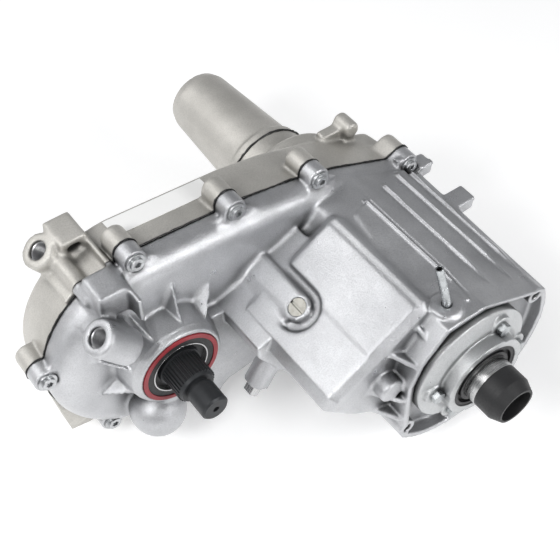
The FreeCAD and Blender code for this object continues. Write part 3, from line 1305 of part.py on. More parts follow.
def oil_magnet():
    return ring(-96.0, -72.0, REAR_WALL_Y - 5.0, REAR_WALL_Y, 4.0, 13.0)


def mainshaft_rear_bearing():
    return ball_bearing(0, 0, REAR_BEARING_Y, REAR_BEARING_W, MAIN_MID_R + RUN, REAR_BEARING_R, BEARING_RACE, 11)


def input_bearing():
    return ball_bearing(0, 0, INPUT_BEARING_Y, INPUT_BEARING_W, INPUT_R + RUN, INPUT_BEARING_R, BEARING_RACE, 13)


def tail_bushing():
    return ring(0, 0, BUSH_Y, BUSH_Y + BUSH_W, BUSH_BORE_R, BUSH_R)


def tail_seal():
    y0 = TAIL_END_Y - TAIL_SEAL_W
    body = ring(0, 0, y0, TAIL_END_Y, PLUG_R + SLIDE, TAIL_SEAL_R)
    return body.cut(ring(0, 0, y0 - 1.0, y0 + 5.0, PLUG_R + 2.0, TAIL_SEAL_R - 2.0))


def tail_plug():
    body = rod(0, 0, BUSH_Y + BUSH_W + 2.0, TAIL_END_Y, PLUG_R).fuse(
        rod(0, 0, TAIL_END_Y + 0.2, TAIL_END_Y + 0.2 + PLUG_RIM_T, PLUG_RIM_R))
    body = body.fuse(rod(0, 0, TAIL_END_Y - 1.0, TAIL_END_Y + 1.0, PLUG_R))
    return body.cut(rod(0, 0, BUSH_Y, TAIL_END_Y - 2.0, PLUG_R - 3.0))


def extension_bolts():
    bolts = []
    for degrees in EXT_BOLT_DEG:
        p = polar(EXT_BOLT_PCR, degrees)
        seat = TAIL_JOINT_Y + EXT_FLANGE_T
        bolts.append(hex_bolt(p[0], p[1], seat, EXT_BOLT_LENGTH, BOLT_HEAD_R, 6.0, BOLT_R - SEAT, -1.0))
    return Part.makeCompound(bolts)


# ================================================================ front output


def front_output_shaft():
    body = fuse_all([
        rod(OUT_X, 0, OUT_END_Y + 2.0, OUT_SHOULDER_Y - 4.0, OUT_THREAD_R),
        cone(OUT_X, 0, OUT_END_Y, OUT_END_Y + 2.0, OUT_THREAD_R - 2.0, OUT_THREAD_R),
        rod(OUT_X, 0, OUT_SHOULDER_Y - 4.0, OUT_SHOULDER_Y, OUT_THREAD_R - 2.0),
        cone(OUT_X, 0, OUT_SHOULDER_Y, OUT_SHOULDER_Y + 3.0, OUT_SPLINE_R - 3.0, OUT_SPLINE_R - SPLINE_DEPTH),
        prism(spline_points(OUT_SPLINES, OUT_SPLINE_R, OUT_SPLINE_R - SPLINE_DEPTH, OUT_X), OUT_SHOULDER_Y + 3.0, OUT_BOSS_Y),
        rod(OUT_X, 0, OUT_BOSS_Y, SPROCKET_Y + SPROCKET_W + 6.0, OUT_JOURNAL_R),
        rod(OUT_X, 0, SPROCKET_Y + SPROCKET_W + 6.0, OUT_REAR_Y, OUT_REAR_R),
    ])
    return body.cut(rod(OUT_X, 0, OUT_END_Y - 1.0, OUT_END_Y + 9.0, 3.2))


def front_output_seal_case():
    return ring(OUT_X, 0, OUT_BOSS_Y - 1.0, OUT_BOSS_Y + OUT_SEAL_W, OUT_SEAL_R - OUT_SEAL_RING, OUT_SEAL_R)


def front_output_seal():
    edge = OUT_SEAL_R - OUT_SEAL_RING - SEAT
    body = ring(OUT_X, 0, OUT_BOSS_Y + 5.0, OUT_BOSS_Y + OUT_SEAL_W, OUT_JOURNAL_R + SEAL_LIP_GAP, edge)
    return body.fuse(ring(OUT_X, 0, OUT_BOSS_Y, OUT_BOSS_Y + 5.0, OUT_LIP_R + 0.3, edge))


def front_output_seal_ring():
    return ring(OUT_X, 0, OUT_BOSS_Y - 0.6, OUT_BOSS_Y + 5.0, OUT_LIP_R - 1.2, OUT_LIP_R)


def front_output_bearing():
    return ball_bearing(OUT_X, 0, OUT_BEARING_Y, OUT_BEARING_W, OUT_JOURNAL_R + RUN, OUT_BEARING_R, BEARING_RACE, 11)


def output_needle_bearing():
    shell = 2.0
    roller_r = (NEEDLE_R - OUT_REAR_R - shell - RUN) / 2.0 - 0.05
    mid_r = OUT_REAR_R + RUN + 0.05 + roller_r
    parts = [ring(OUT_X, 0, NEEDLE_Y, NEEDLE_Y + NEEDLE_W - 2.0, NEEDLE_R - shell, NEEDLE_R)]
    for i in range(18):
        p = polar(mid_r, i * 20.0, OUT_X)
        parts.append(rod(p[0], p[1], NEEDLE_Y + 1.5, NEEDLE_Y + NEEDLE_W - 3.5, roller_r))
    return Part.makeCompound(parts)


# ================================================================ shift parts


def fork(y_ring, r_in, hub_y0, hub_y1):
    half = Part.makeBox(200.0, FORK_T + 2.0, 200.0, V(-200.0, y_ring - 1.0, -100.0))
    claw = ring(0, 0, y_ring, y_ring + FORK_T, r_in, r_in + FORK_RING).common(half)
    arm = box(RAIL_X, -r_in - 2.0, y_ring, y_ring + FORK_T, RAIL_Z - 9.0, RAIL_Z + 9.0)
    hub = rod(RAIL_X, RAIL_Z, hub_y0, hub_y1, FORK_HUB_R)
    return fuse_all([claw, arm, hub])


def slot_box(y, in0, in1, half_side, half_y):
    # Box with its faces along the selector axis, across it and along Y.
    corner = SEL_POINT + SEL_IN * in0 + SEL_SIDE * (SELECTOR_ARM - half_side)
    a = V(corner.x, y - half_y, corner.z)
    b = a + SEL_SIDE * (2.0 * half_side)
    c = b + V(0, 2.0 * half_y, 0)
    d = a + V(0, 2.0 * half_y, 0)
    return Part.Face(Part.makePolygon([a, b, c, d, a])).extrude(SEL_IN * (in1 - in0))


def range_fork():
    groove_y = HUB_COLLAR_Y + (HUB_COLLAR_W - FORK_T) / 2.0
    body = fork(groove_y, HUB_GROOVE_R + SIDE, RANGE_FORK_Y0, RANGE_FORK_Y1)
    lug_in = SELECTOR_PLATE_IN + SELECTOR_PLATE_T + 0.8
    body = body.fuse(slot_box(PIN_Y, lug_in, SEL_RAIL_IN, 9.0, SELECTOR_PIN_R + 5.5))
    slot_end = SELECTOR_PLATE_IN + SELECTOR_PLATE_T + SELECTOR_PIN_L + 0.5
    body = body.cut(slot_box(PIN_Y, lug_in - 1.0, slot_end, 12.0, SELECTOR_PIN_R + 0.4))
    return body.cut(rod(RAIL_X, RAIL_Z, RANGE_FORK_Y0 - 1.0, RANGE_FORK_Y1 + 1.0, RAIL_R + SLIDE))


def mode_fork():
    groove_y = SLEEVE_GROOVE_Y + (SLEEVE_GROOVE_W - FORK_T) / 2.0
    body = fork(groove_y, SLEEVE_GROOVE_R + SIDE, MODE_FORK_Y0, MODE_FORK_Y1)
    return body.cut(rod(RAIL_X, RAIL_Z, MODE_FORK_Y0 - 1.0, MODE_FORK_Y1 + 1.0, RAIL_R + SLIDE))


def shift_rail():
    return rod(RAIL_X, RAIL_Z, RAIL_FRONT_Y, RAIL_REAR_Y, RAIL_R)


def selector_shaft():
    top = SELECTOR_PLATE_IN + SELECTOR_PLATE_T
    shaft = pin_along(SEL_POINT + SEL_IN * top, SEL_OUT, top + SELECTOR_OUT, SELECTOR_R)
    plate_base = SEL_POINT + SEL_IN * SELECTOR_PLATE_IN
    pin_base = V(plate_base.x, 0, plate_base.z) + SEL_SIDE * PIN_REACH + V(0, PIN_Y, 0)
    hub = pin_along(plate_base, SEL_IN, SELECTOR_PLATE_T, SELECTOR_R + 5.0)
    eye = pin_along(pin_base, SEL_IN, SELECTOR_PLATE_T, SELECTOR_PIN_R + 3.5)
    along = (pin_base - plate_base).normalize()
    across = along.cross(SEL_IN) * (SELECTOR_PIN_R + 3.0)
    loop = [plate_base + across, pin_base + across, pin_base - across, plate_base - across, plate_base + across]
    web = Part.Face(Part.makePolygon(loop)).extrude(SEL_IN * SELECTOR_PLATE_T)
    pin = pin_along(pin_base, SEL_IN, SELECTOR_PLATE_T + SELECTOR_PIN_L, SELECTOR_PIN_R)
    body = fuse_all([shaft, hub, eye, web, pin])
    # Two flats for the shift lever on the outer end.
    for side in (1.0, -1.0):
        flat = SEL_SIDE * side
        base = SEL_POINT + SEL_OUT * (SELECTOR_BOSS_OUT + 3.0) + flat * (SELECTOR_R - 2.0)
        a = base + V(0, -20.0, 0)
        b = base + V(0, 20.0, 0)
        c = b + SEL_OUT * 20.0
        d = a + SEL_OUT * 20.0
        body = body.cut(Part.Face(Part.makePolygon([a, b, c, d, a])).extrude(flat * 10.0))
    return body


def selector_seal():
    base = SEL_POINT + SEL_OUT * (SELECTOR_BOSS_OUT - 3.6)
    return pin_along(base, SEL_OUT, 3.4, SELECTOR_SEAL_R).cut(
        pin_along(base - SEL_OUT, SEL_OUT, 6.0, SELECTOR_R + SLIDE))


def detent_plug():
    seat = DETENT_POINT + BOX_NORMAL * (DETENT_LIFT - DETENT_PLUG_T)
    body = pin_along(seat, BOX_NORMAL, DETENT_PLUG_T - 1.0, DETENT_PLUG_R)
    top = seat + BOX_NORMAL * (DETENT_PLUG_T - 3.0)
    a = top + V(0, -20.0, 0) - V(BOX_NORMAL.z, 0, -BOX_NORMAL.x) * 1.3
    b = a + V(0, 40.0, 0)
    c = b + V(BOX_NORMAL.z, 0, -BOX_NORMAL.x) * 2.6
    d = a + V(BOX_NORMAL.z, 0, -BOX_NORMAL.x) * 2.6
    return body.cut(Part.Face(Part.makePolygon([a, b, c, d, a])).extrude(BOX_NORMAL * 6.0))


PLUNGER_START = FORK_HUB_R + 0.3


def detent_plunger():
    base = DETENT_POINT + BOX_NORMAL * (PLUNGER_START + 2.0)
    body = pin_along(base, BOX_NORMAL, PLUNGER_L - 2.0, DETENT_R)
    nose = Part.makeCone(DETENT_R - 2.5, DETENT_R, 2.0, base - BOX_NORMAL * 2.0, BOX_NORMAL)
    body = body.fuse(nose)
    return body.cut(pin_along(base + BOX_NORMAL * 2.0, BOX_NORMAL, PLUNGER_L, DETENT_R - 0.9))


def detent_spring():
    start = PLUNGER_START + 4.0 + DETENT_PLAY + SPRING_WIRE_R + 0.05
    end = DETENT_LIFT - DETENT_PLUG_T - SPRING_WIRE_R - 0.05
    height = end - start
    helix = Part.makeHelix(height / SPRING_TURNS, height, SPRING_R)
    circle = Part.Wire(Part.makeCircle(SPRING_WIRE_R, V(SPRING_R, 0, 0), V(0, 1, 0)))
    coil = Part.Wire(helix).makePipeShell([circle], True, True)
    angle = math.degrees(math.acos(BOX_NORMAL.z))
    coil.rotate(V(0, 0, 0), V(0, 1, 0), -angle if BOX_NORMAL.x < 0 else angle)
    base = DETENT_POINT + BOX_NORMAL * start
    coil.translate(base)
    return coil


def vent_tube():
    foot = V(VENT_X, VENT_Y, ROOF_Z - 7.0)
    bend = V(VENT_X, VENT_Y, ROOF_Z + 8.0)
    end = V(VENT_X - 5.0, VENT_Y + 11.0, ROOF_Z + VENT_H)
    d = end - bend

    axis = V(d.x, d.y, d.z).normalize()
    tube = fuse_all([
        pin_along(foot, V(0, 0, 1), bend.z - foot.z, VENT_R),
        pin_along(bend, axis, d.Length - VENT_END_L, VENT_R),
        Part.makeSphere(VENT_R, bend),
        pin_along(end - axis * (VENT_END_L + 1.0), axis, VENT_END_L + 1.0, VENT_END_R),
    ])
    bore_r = VENT_END_R - 1.2
    hole = fuse_all([
        pin_along(foot - V(0, 0, 1), V(0, 0, 1), bend.z - foot.z + 1.0, bore_r),
        pin_along(bend, axis, d.Length + 1.0, bore_r),
        Part.makeSphere(bore_r, bend),
    ])
    return tube.cut(hole)


# ================================================================ fasteners


def case_bolts():
    return Part.makeCompound([socket_bolt(p[0], p[1], BOLT_FRONT_Y, BOLT_LENGTH) for p in CASE_BOLTS])


def case_dowels():
    pins = []
    for p in DOWELS:
        pins.append(rod(p[0], p[1], SEAM_Y - DOWEL_LENGTH / 2.0 + 0.5, SEAM_Y + DOWEL_LENGTH / 2.0 - 0.5, DOWEL_R))
    return Part.makeCompound(pins)


def service_plug(name):
    p = SERVICE_PLUGS[name]
    seat = REAR_FACE_Y + 6.0
    return hex_bolt(p[0], p[1], seat, 12.0, SERVICE_HEX_R, 7.0, SERVICE_PLUG_R, -1.0)


NODES = {
    "front_case": front_case,
    "rear_case": rear_case,
    "case_sealant": case_sealant,
    "blank_tag": blank_tag,
    "extension_housing": extension_housing,
    "input_bearing_retainer": input_bearing_retainer,
    "retainer_bolts": retainer_bolts,
    "input_seal": input_seal,
    "input_shaft": input_shaft,
    "pilot_bushing": pilot_bushing,
    "input_cap": input_cap,
    "input_bearing": input_bearing,
    "sun_gear": sun_gear,
    "annulus_gear": annulus_gear,
    "planet_carrier": planet_carrier,
    "planet_pins": planet_pins,
    "range_hub": range_hub,
    "mainshaft": mainshaft,
    "mode_hub": mode_hub,
    "mode_sleeve": mode_sleeve,
    "drive_sprocket": drive_sprocket,
    "driven_sprocket": driven_sprocket,
    "drive_chain": drive_chain,
    "sprocket_spacer": sprocket_spacer,
    "oil_pump": oil_pump,
    "pump_rotor": pump_rotor,
    "pump_pickup": pump_pickup,
    "oil_magnet": oil_magnet,
    "mainshaft_rear_bearing": mainshaft_rear_bearing,
    "tail_bushing": tail_bushing,
    "tail_seal": tail_seal,
    "tail_plug": tail_plug,
    "extension_bolts": extension_bolts,
    "front_output_shaft": front_output_shaft,
    "front_output_seal_case": front_output_seal_case,
    "front_output_seal": front_output_seal,
    "front_output_seal_ring": front_output_seal_ring,
    "front_output_bearing": front_output_bearing,
    "output_needle_bearing": output_needle_bearing,
    "shift_rail": shift_rail,
    "range_fork": range_fork,
    "mode_fork": mode_fork,
    "selector_shaft": selector_shaft,
    "selector_seal": selector_seal,
    "detent_plug": detent_plug,
    "detent_plunger": detent_plunger,
    "detent_spring": detent_spring,
    "vent_tube": vent_tube,
    "case_bolts": case_bolts,
    "case_dowels": case_dowels,
}

for node, make in NODES.items():
    save(node, make())
for index in range(PLANETS):
    save("planet_gear_%d" % (index + 1), planet_gear(index))
for node in SERVICE_PLUGS:
    save(node, service_plug(node))
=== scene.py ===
import json
import math
import random

import bmesh
import bpy
import numpy as np
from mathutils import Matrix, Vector
from mathutils.bvhtree import BVHTree


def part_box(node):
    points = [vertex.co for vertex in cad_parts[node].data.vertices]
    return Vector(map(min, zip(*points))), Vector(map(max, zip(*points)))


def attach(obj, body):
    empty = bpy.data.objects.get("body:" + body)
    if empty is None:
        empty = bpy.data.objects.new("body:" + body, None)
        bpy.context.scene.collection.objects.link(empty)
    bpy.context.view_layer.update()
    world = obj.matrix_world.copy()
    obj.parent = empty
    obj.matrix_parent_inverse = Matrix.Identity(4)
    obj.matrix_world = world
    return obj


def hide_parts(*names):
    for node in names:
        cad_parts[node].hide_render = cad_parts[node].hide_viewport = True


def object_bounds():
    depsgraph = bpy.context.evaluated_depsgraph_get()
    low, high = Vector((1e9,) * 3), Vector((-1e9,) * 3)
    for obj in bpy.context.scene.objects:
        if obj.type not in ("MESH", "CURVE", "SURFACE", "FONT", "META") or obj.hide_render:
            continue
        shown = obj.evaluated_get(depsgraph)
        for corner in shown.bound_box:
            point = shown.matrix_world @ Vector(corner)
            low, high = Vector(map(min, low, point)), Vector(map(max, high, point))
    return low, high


# All lengths are in metres.

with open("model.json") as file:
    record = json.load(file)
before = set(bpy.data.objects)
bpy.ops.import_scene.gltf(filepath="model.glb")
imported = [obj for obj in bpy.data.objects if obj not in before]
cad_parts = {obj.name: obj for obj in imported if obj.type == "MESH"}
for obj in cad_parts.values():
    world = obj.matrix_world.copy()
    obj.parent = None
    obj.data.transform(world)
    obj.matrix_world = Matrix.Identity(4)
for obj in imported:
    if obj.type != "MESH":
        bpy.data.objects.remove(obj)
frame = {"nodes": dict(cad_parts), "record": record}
CAD_LO, CAD_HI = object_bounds()
NODES = frame["nodes"]
MOUNTS = {m["name"]: m for m in frame["record"]["mounts"]}
MM_PER_M = 1000.0
WELD = 1e-6                # vertices closer than this are the same one

# ---------------------------------------------------------------- materials

PATCH_SCALE = 14.0         # cloudy patches on a casting
FLOW_SCALE = 60.0          # shallow waves of the cast surface
GRAIN_SCALE = 700.0        # sand grain
LATHE_SCALE = 900.0        # turning marks along Y
LATHE_STRETCH = (0.02, 1.0, 0.02)
STAIN_SCALE = 40.0
MOTTLE_SCALE = 180.0       # plating
SCUFF_SCALE = 700.0
CLOUD_SCALE = 30.0         # soft parts
RUBBER_SCALE = 500.0
FILM_CLOUD_SCALE = 25.0
FILM_FIBRE_SCALE = 900.0
# Painted shade: the cast colour is darkened in corners and hollows within this distance.
PAINTED_SHADE_REACH = 0.022        # corners darken within this distance


def shade(color, share):
    return tuple(c * share for c in color)


class Nodes:
    """Small helper that wires one material's nodes."""

    def __init__(self, name):
        self.mat = bpy.data.materials.new(name)
        self.mat.use_nodes = True
        self.tree = self.mat.node_tree
        self.tree.nodes.clear()
        self.out = self.add("ShaderNodeOutputMaterial")
        self.bsdf = self.add("ShaderNodeBsdfPrincipled")
        self.link(self.bsdf.outputs[0], self.out.inputs[0])
        self.coord = self.add("ShaderNodeTexCoord").outputs["Object"]

    def add(self, kind, **values):
        n = self.tree.nodes.new(kind)
        for key, value in values.items():
            if key in n.inputs:
                n.inputs[key].default_value = value
            else:
                setattr(n, key, value)
        return n

    def link(self, a, b):
        self.tree.links.new(a, b)

    def noise(self, scale, detail, rough, stretch=None):
        n = self.add("ShaderNodeTexNoise", Scale=scale, Detail=detail, Roughness=rough)
        if stretch:
            m = self.add("ShaderNodeMapping", Scale=stretch)
            self.link(self.coord, m.inputs[0])
            self.link(m.outputs[0], n.inputs["Vector"])
        else:
            self.link(self.coord, n.inputs["Vector"])
        return n.outputs["Fac"]

    def mix(self, fac, a, b):
        m = self.add("ShaderNodeMix", data_type="RGBA")
        self.link(fac, m.inputs[0])
        for value, socket in ((a, m.inputs[6]), (b, m.inputs[7])):
            if isinstance(value, tuple):
                socket.default_value = (*value, 1)
            else:
                self.link(value, socket)
        return m.outputs[2]

    def range(self, fac, to_lo, to_hi, from_lo, from_hi):
        m = self.add("ShaderNodeMapRange")
        for i, v in enumerate((from_lo, from_hi, to_lo, to_hi)):
            m.inputs[i + 1].default_value = v
        self.link(fac, m.inputs[0])
        return m.outputs[0]

    def bump(self, height, strength, distance, normal=None):
        b = self.add("ShaderNodeBump", Strength=strength, Distance=distance)
        self.link(height, b.inputs["Height"])
        if normal:
            self.link(normal, b.inputs["Normal"])
        return b.outputs[0]

    def painted_shade(self, color):
        """Painted shade: darkens the colour towards black in corners and hollows, where shade
        falls.
        """
        ao = self.add("ShaderNodeAmbientOcclusion", samples=8, Distance=PAINTED_SHADE_REACH)
        open_share = self.range(ao.outputs["AO"], 0.2, 1.0, 0.25, 0.9)
        return self.mix(open_share, (0.0, 0.0, 0.0), color)

    def soft_edges(self, radius):
        return self.add("ShaderNodeBevel", samples=6, Radius=radius).outputs[0]

    def finish(self, color, rough, normal=None, metallic=0.0):
        self.link(color, self.bsdf.inputs["Base Color"])
        if isinstance(rough, float):
            self.bsdf.inputs["Roughness"].default_value = rough
        else:
            self.link(rough, self.bsdf.inputs["Roughness"])
        self.bsdf.inputs["Metallic"].default_value = metallic
        if normal:
            self.link(normal, self.bsdf.inputs["Normal"])
        return self.mat


def cast_metal(name, light, dark, rough, edge, metallic):
    n = Nodes(name)
    patches = n.noise(PATCH_SCALE, 5.0, 0.6)
    grain = n.noise(GRAIN_SCALE, 4.0, 0.75)
    flow = n.noise(FLOW_SCALE, 4.0, 0.6)
    color = n.mix(n.range(patches, 0.0, 1.0, 0.35, 0.68), dark, light)
    color = n.mix(n.range(grain, 0.0, 0.45, 0.42, 0.68), color, shade(dark, 0.7))
    # Painted shade: corners and hollows are darkened towards black.
    color = n.painted_shade(color)
    worn = n.range(flow, 0.0, 1.0, 0.3, 0.7)
    r = n.mix(worn, (rough - 0.05,) * 3, (rough + 0.09,) * 3)
    normal = n.soft_edges(edge)
    normal = n.bump(flow, 0.25, 0.0012, normal)
    normal = n.bump(grain, 0.85, 0.00045, normal)
    return n.finish(color, r, normal, metallic)


def turned_steel(name, base, rough, lines=0.35, metallic=1.0):
    n = Nodes(name)
    bands = n.noise(LATHE_SCALE, 2.0, 0.6, LATHE_STRETCH)
    stain = n.noise(STAIN_SCALE, 4.0, 0.6)
    color = n.mix(n.range(stain, 0.0, 0.5, 0.4, 0.75), base, shade(base, 0.6))
    r = n.range(bands, rough - 0.06, rough + 0.12, 0.3, 0.7)
    normal = n.bump(bands, lines, 0.0002, n.soft_edges(0.0004))
    return n.finish(color, r, normal, metallic)


def plated(name, base, rough, edge=0.0006):
    n = Nodes(name)
    mottle = n.noise(MOTTLE_SCALE, 4.0, 0.6)
    scuff = n.noise(SCUFF_SCALE, 3.0, 0.7)
    color = n.mix(n.range(mottle, 0.0, 0.6, 0.4, 0.7), base, shade(base, 0.55))
    r = n.range(scuff, rough, rough + 0.14, 0.35, 0.7)
    normal = n.bump(scuff, 0.25, 0.0002, n.soft_edges(edge))
    return n.finish(color, r, normal, 1.0)


def soft_part(name, base, rough, bump=0.3, scale=RUBBER_SCALE):
    n = Nodes(name)
    cloud = n.noise(CLOUD_SCALE, 4.0, 0.6)
    fine = n.noise(scale, 3.0, 0.65)
    dusty = tuple(min(1.0, c * 1.5 + 0.008) for c in base)
    color = n.mix(n.range(cloud, 0.0, 0.8, 0.35, 0.7), base, dusty)
    r = n.range(fine, rough - 0.05, rough + 0.12, 0.35, 0.65)
    normal = n.bump(fine, bump, 0.0002, n.soft_edges(0.0006))
    return n.finish(color, r, normal)


def film(name):
    n = Nodes(name)
    cloud = n.noise(FILM_CLOUD_SCALE, 3.0, 0.5)
    fibre = n.noise(FILM_FIBRE_SCALE, 2.0, 0.5)
    color = n.mix(cloud, (0.86, 0.86, 0.85), (0.93, 0.93, 0.92))
    r = n.range(fibre, 0.38, 0.5, 0.3, 0.7)
    return n.finish(color, r, n.bump(fibre, 0.1, 0.0001))


FRONT_CAST = cast_metal("front_cast", (0.665, 0.67, 0.685), (0.50, 0.505, 0.52),
                        rough=0.32, edge=0.0016, metallic=0.90)
REAR_CAST = cast_metal("rear_cast", (0.68, 0.66, 0.62), (0.54, 0.525, 0.49),
                       rough=0.42, edge=0.0016, metallic=0.70)
RETAINER = cast_metal("retainer_cast", (0.66, 0.67, 0.675), (0.52, 0.53, 0.535),
                      rough=0.32, edge=0.0010, metallic=0.85)
STEEL = turned_steel("turned_steel", (0.58, 0.58, 0.58), 0.24)
GEAR = turned_steel("gear_steel", (0.42, 0.42, 0.43), 0.34)
DARK = turned_steel("dark_shaft", (0.035, 0.037, 0.040), 0.42, lines=0.3, metallic=0.45)
ZINC = plated("zinc", (0.52, 0.54, 0.55), 0.22)
BOLT = plated("bolt_zinc", (0.58, 0.59, 0.60), 0.26)
PLUG_STEEL = plated("plug_steel", (0.36, 0.35, 0.32), 0.30)
CHROME = plated("bearing_chrome", (0.72, 0.72, 0.74), 0.14, edge=0.0003)
BRONZE = plated("bronze", (0.50, 0.33, 0.15), 0.32)
RUBBER = soft_part("black_rubber", (0.011, 0.011, 0.012), 0.48)
SEALANT = soft_part("sealant", (0.010, 0.010, 0.010), 0.30, bump=0.5, scale=300.0)
RED = soft_part("red_seal", (0.25, 0.022, 0.030), 0.42)
GREEN = soft_part("green_plug", (0.010, 0.075, 0.055), 0.42)
FERRITE = soft_part("ferrite", (0.05, 0.05, 0.05), 0.55)
FILM = film("blank_film")

LOOKS = {
    FRONT_CAST: ["front_case", "oil_pump", "range_fork", "mode_fork"],
    REAR_CAST: ["rear_case", "extension_housing"],
    RETAINER: ["input_bearing_retainer"],
    STEEL: ["input_shaft", "mainshaft", "sprocket_spacer", "front_output_seal_ring",
            "shift_rail", "selector_shaft", "detent_plunger", "detent_spring",
            "pump_pickup", "case_dowels"],
    GEAR: ["sun_gear", "annulus_gear", "planet_carrier", "range_hub", "mode_hub",
           "mode_sleeve", "drive_sprocket", "driven_sprocket", "pump_rotor",
           "planet_gear_1", "planet_gear_2", "planet_gear_3", "planet_gear_4"],
    DARK: ["front_output_shaft", "drive_chain"],
    ZINC: ["vent_tube", "retainer_bolts", "extension_bolts", "fill_plug", "drain_plug"],
    BOLT: ["case_bolts"],
    PLUG_STEEL: ["detent_plug"],
    CHROME: ["input_bearing", "mainshaft_rear_bearing", "front_output_bearing",
             "output_needle_bearing", "planet_pins"],
    BRONZE: ["pilot_bushing", "tail_bushing"],
    RUBBER: ["input_cap", "input_seal", "front_output_seal", "tail_seal", "selector_seal"],
    SEALANT: ["case_sealant"],
    RED: ["front_output_seal_case"],
    GREEN: ["tail_plug"],
    FERRITE: ["oil_magnet"],
    FILM: ["blank_tag"],
}
for material, names in LOOKS.items():
    for name in names:
        slots = NODES[name].material_slots
        if not slots:
            NODES[name].data.materials.append(material)
        for s in slots:
            s.material = material

# ---------------------------------------------------------------- shared steps

SEAM_Y, SEAM_END_Y = (corner.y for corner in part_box("case_sealant"))
TAIL_JOINT_Y, TAIL_END_Y = (corner.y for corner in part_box("extension_housing"))
OUT_AXIS = (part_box("front_output_bearing")[0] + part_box("front_output_bearing")[1]) / 2


def welded(node):
    """A node's mesh as a bmesh, with its faces joined at shared vertices."""
    bm = bmesh.new()
    bm.from_mesh(NODES[node].data)
    bmesh.ops.remove_doubles(bm, verts=bm.verts, dist=WELD)
    return bm


def applied(obj):
    """A new mesh of the object with its modifiers applied."""
    graph = bpy.context.evaluated_depsgraph_get()
    return bpy.data.meshes.new_from_object(obj.evaluated_get(graph))


def show(name, data):
    obj = bpy.data.objects.new(name, data)
    bpy.context.scene.collection.objects.link(obj)
    return obj


def vertices(mesh):
    co = np.empty(len(mesh.vertices) * 3)
    mesh.vertices.foreach_get("co", co)
    return co.reshape(-1, 3)


def smooth_in(mesh, material):
    mesh.polygons.foreach_set("use_smooth", [True] * len(mesh.polygons))
    mesh.materials.clear()
    mesh.materials.append(material)


def islands(node):
    """Low and high corners of each separate solid in a node's mesh."""
    bm = welded(node)
    seen = set()
    boxes = []
    for v in bm.verts:
        if v in seen:
            continue
        stack, group = [v], []
        seen.add(v)
        while stack:
            w = stack.pop()
            group.append(w.co.copy())
            for e in w.link_edges:
                o = e.other_vert(w)
                if o not in seen:
                    seen.add(o)
                    stack.append(o)
        lo = Vector([min(p[k] for p in group) for k in range(3)])
        hi = Vector([max(p[k] for p in group) for k in range(3)])
        boxes.append((lo, hi))
    bm.free()
    return boxes


# ---------------------------------------------------------------- cast skins

FACE_BAND = 0.0012         # machined faces keep their place within this distance
FADE = 0.0025              # and the cast surface takes over across this much more
RELAX_STEP = 0.6
SEAT_MARGIN = 0.0006       # machined ring round a case bolt's head
EAR_MARGIN = 0.0015        # machined ring round an ear's thread
EAR_LIP = 0.002
SEAL_MARGIN = 0.0008
SEAL_DEPTH = (-0.002, 0.07)
FITTING_MARGIN = 0.001     # box round a plug, seal or tube that is held as it is
FITTINGS = ("detent_plug", "selector_seal", "vent_tube")

# Details that are rounded less than the rest of the front casting.
FINE_SHARE = 0.3
WEB_SHARE = 0.5
RIB_X, RIB_Z = -0.001, 0.036           # roof ribs lie beyond these
RIB_SEAM_GAP = 0.02
GUSSET_R = (0.047, 0.088)              # gussets round the output collar
GUSSET_SEAM_GAP = 0.03
WEB_R, WEB_X, WEB_Y = 0.118, -0.03, 0.032      # webs beside the adapter flange


def near_plane(co, y):
    """0 on a face square to Y, rising to 1 away from it."""
    return np.clip((np.abs(co[:, 1] - y) - FACE_BAND) / FADE, 0.0, 1.0)


def near_hole(co, point, direction, radius, t0, t1):
    """0 in a round hole from t0 to t1 along it, rising to 1 away from it."""
    d = np.array(Vector(direction).normalized())
    rel = co - np.array(point)
    t = rel @ d
    r = np.linalg.norm(rel - t[:, None] * d, axis=1)
    gap = np.maximum(r - radius, np.maximum(t0 - t, t - t1))
    return np.clip((gap - FACE_BAND) / FADE, 0.0, 1.0)


def hold_bolts(co, weight, node, margin):
    for lo, hi in islands(node):
        centre = (lo + hi) / 2
        radius = (hi.x - lo.x) / 2 + margin
        seat = (centre.x, lo.y, centre.z)
        hole = near_hole(co, seat, (0, 1, 0), radius, 0.0, hi.y - lo.y)
        weight = np.minimum(weight, hole)
    return weight


def hold_ear(co, weight, name):
    m = MOUNTS[name]
    depth = m["dims"]["length_mm"] / MM_PER_M
    radius = m["dims"]["r_mm"] / MM_PER_M
    hole = near_hole(co, m["pos_m"], m["axis"], radius + EAR_MARGIN, -depth, EAR_LIP)
    return np.minimum(weight, hole)


def soften(weight, inside, share):
    """Cast details inside this region are rounded less."""
    return np.where(inside, np.minimum(weight, share), weight)


def front_weights(co):
    weight = np.minimum(near_plane(co, 0.0), near_plane(co, SEAM_Y))
    weight = hold_bolts(co, weight, "case_bolts", SEAT_MARGIN)
    weight = hold_ear(co, weight, "front_ear")
    seal_lo, seal_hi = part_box("front_output_seal_case")
    seal = (OUT_AXIS.x, seal_lo.y, 0.0)
    seal_r = (seal_hi.x - seal_lo.x) / 2 + SEAL_MARGIN
    weight = np.minimum(weight, near_hole(co, seal, (0, 1, 0), seal_r, *SEAL_DEPTH))
    for node in FITTINGS:
        lo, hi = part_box(node)
        above = co > np.array(lo) - FITTING_MARGIN
        below = co < np.array(hi) + FITTING_MARGIN
        weight = np.where(np.all(above & below, axis=1), 0.0, weight)
    x, y, z = co[:, 0], co[:, 1], co[:, 2]
    ribs = (x > RIB_X) & (y < SEAM_Y - RIB_SEAM_GAP) & (z > RIB_Z)
    weight = soften(weight, ribs, FINE_SHARE)
    spread = np.hypot(x - OUT_AXIS.x, z)
    gussets = (spread > GUSSET_R[0]) & (spread < GUSSET_R[1]) & (y < SEAM_Y - GUSSET_SEAM_GAP)
    weight = soften(weight, gussets, FINE_SHARE)
    webs = (np.hypot(x, z) < WEB_R) & (y < WEB_Y) & (x < WEB_X)
    return soften(weight, webs, WEB_SHARE)


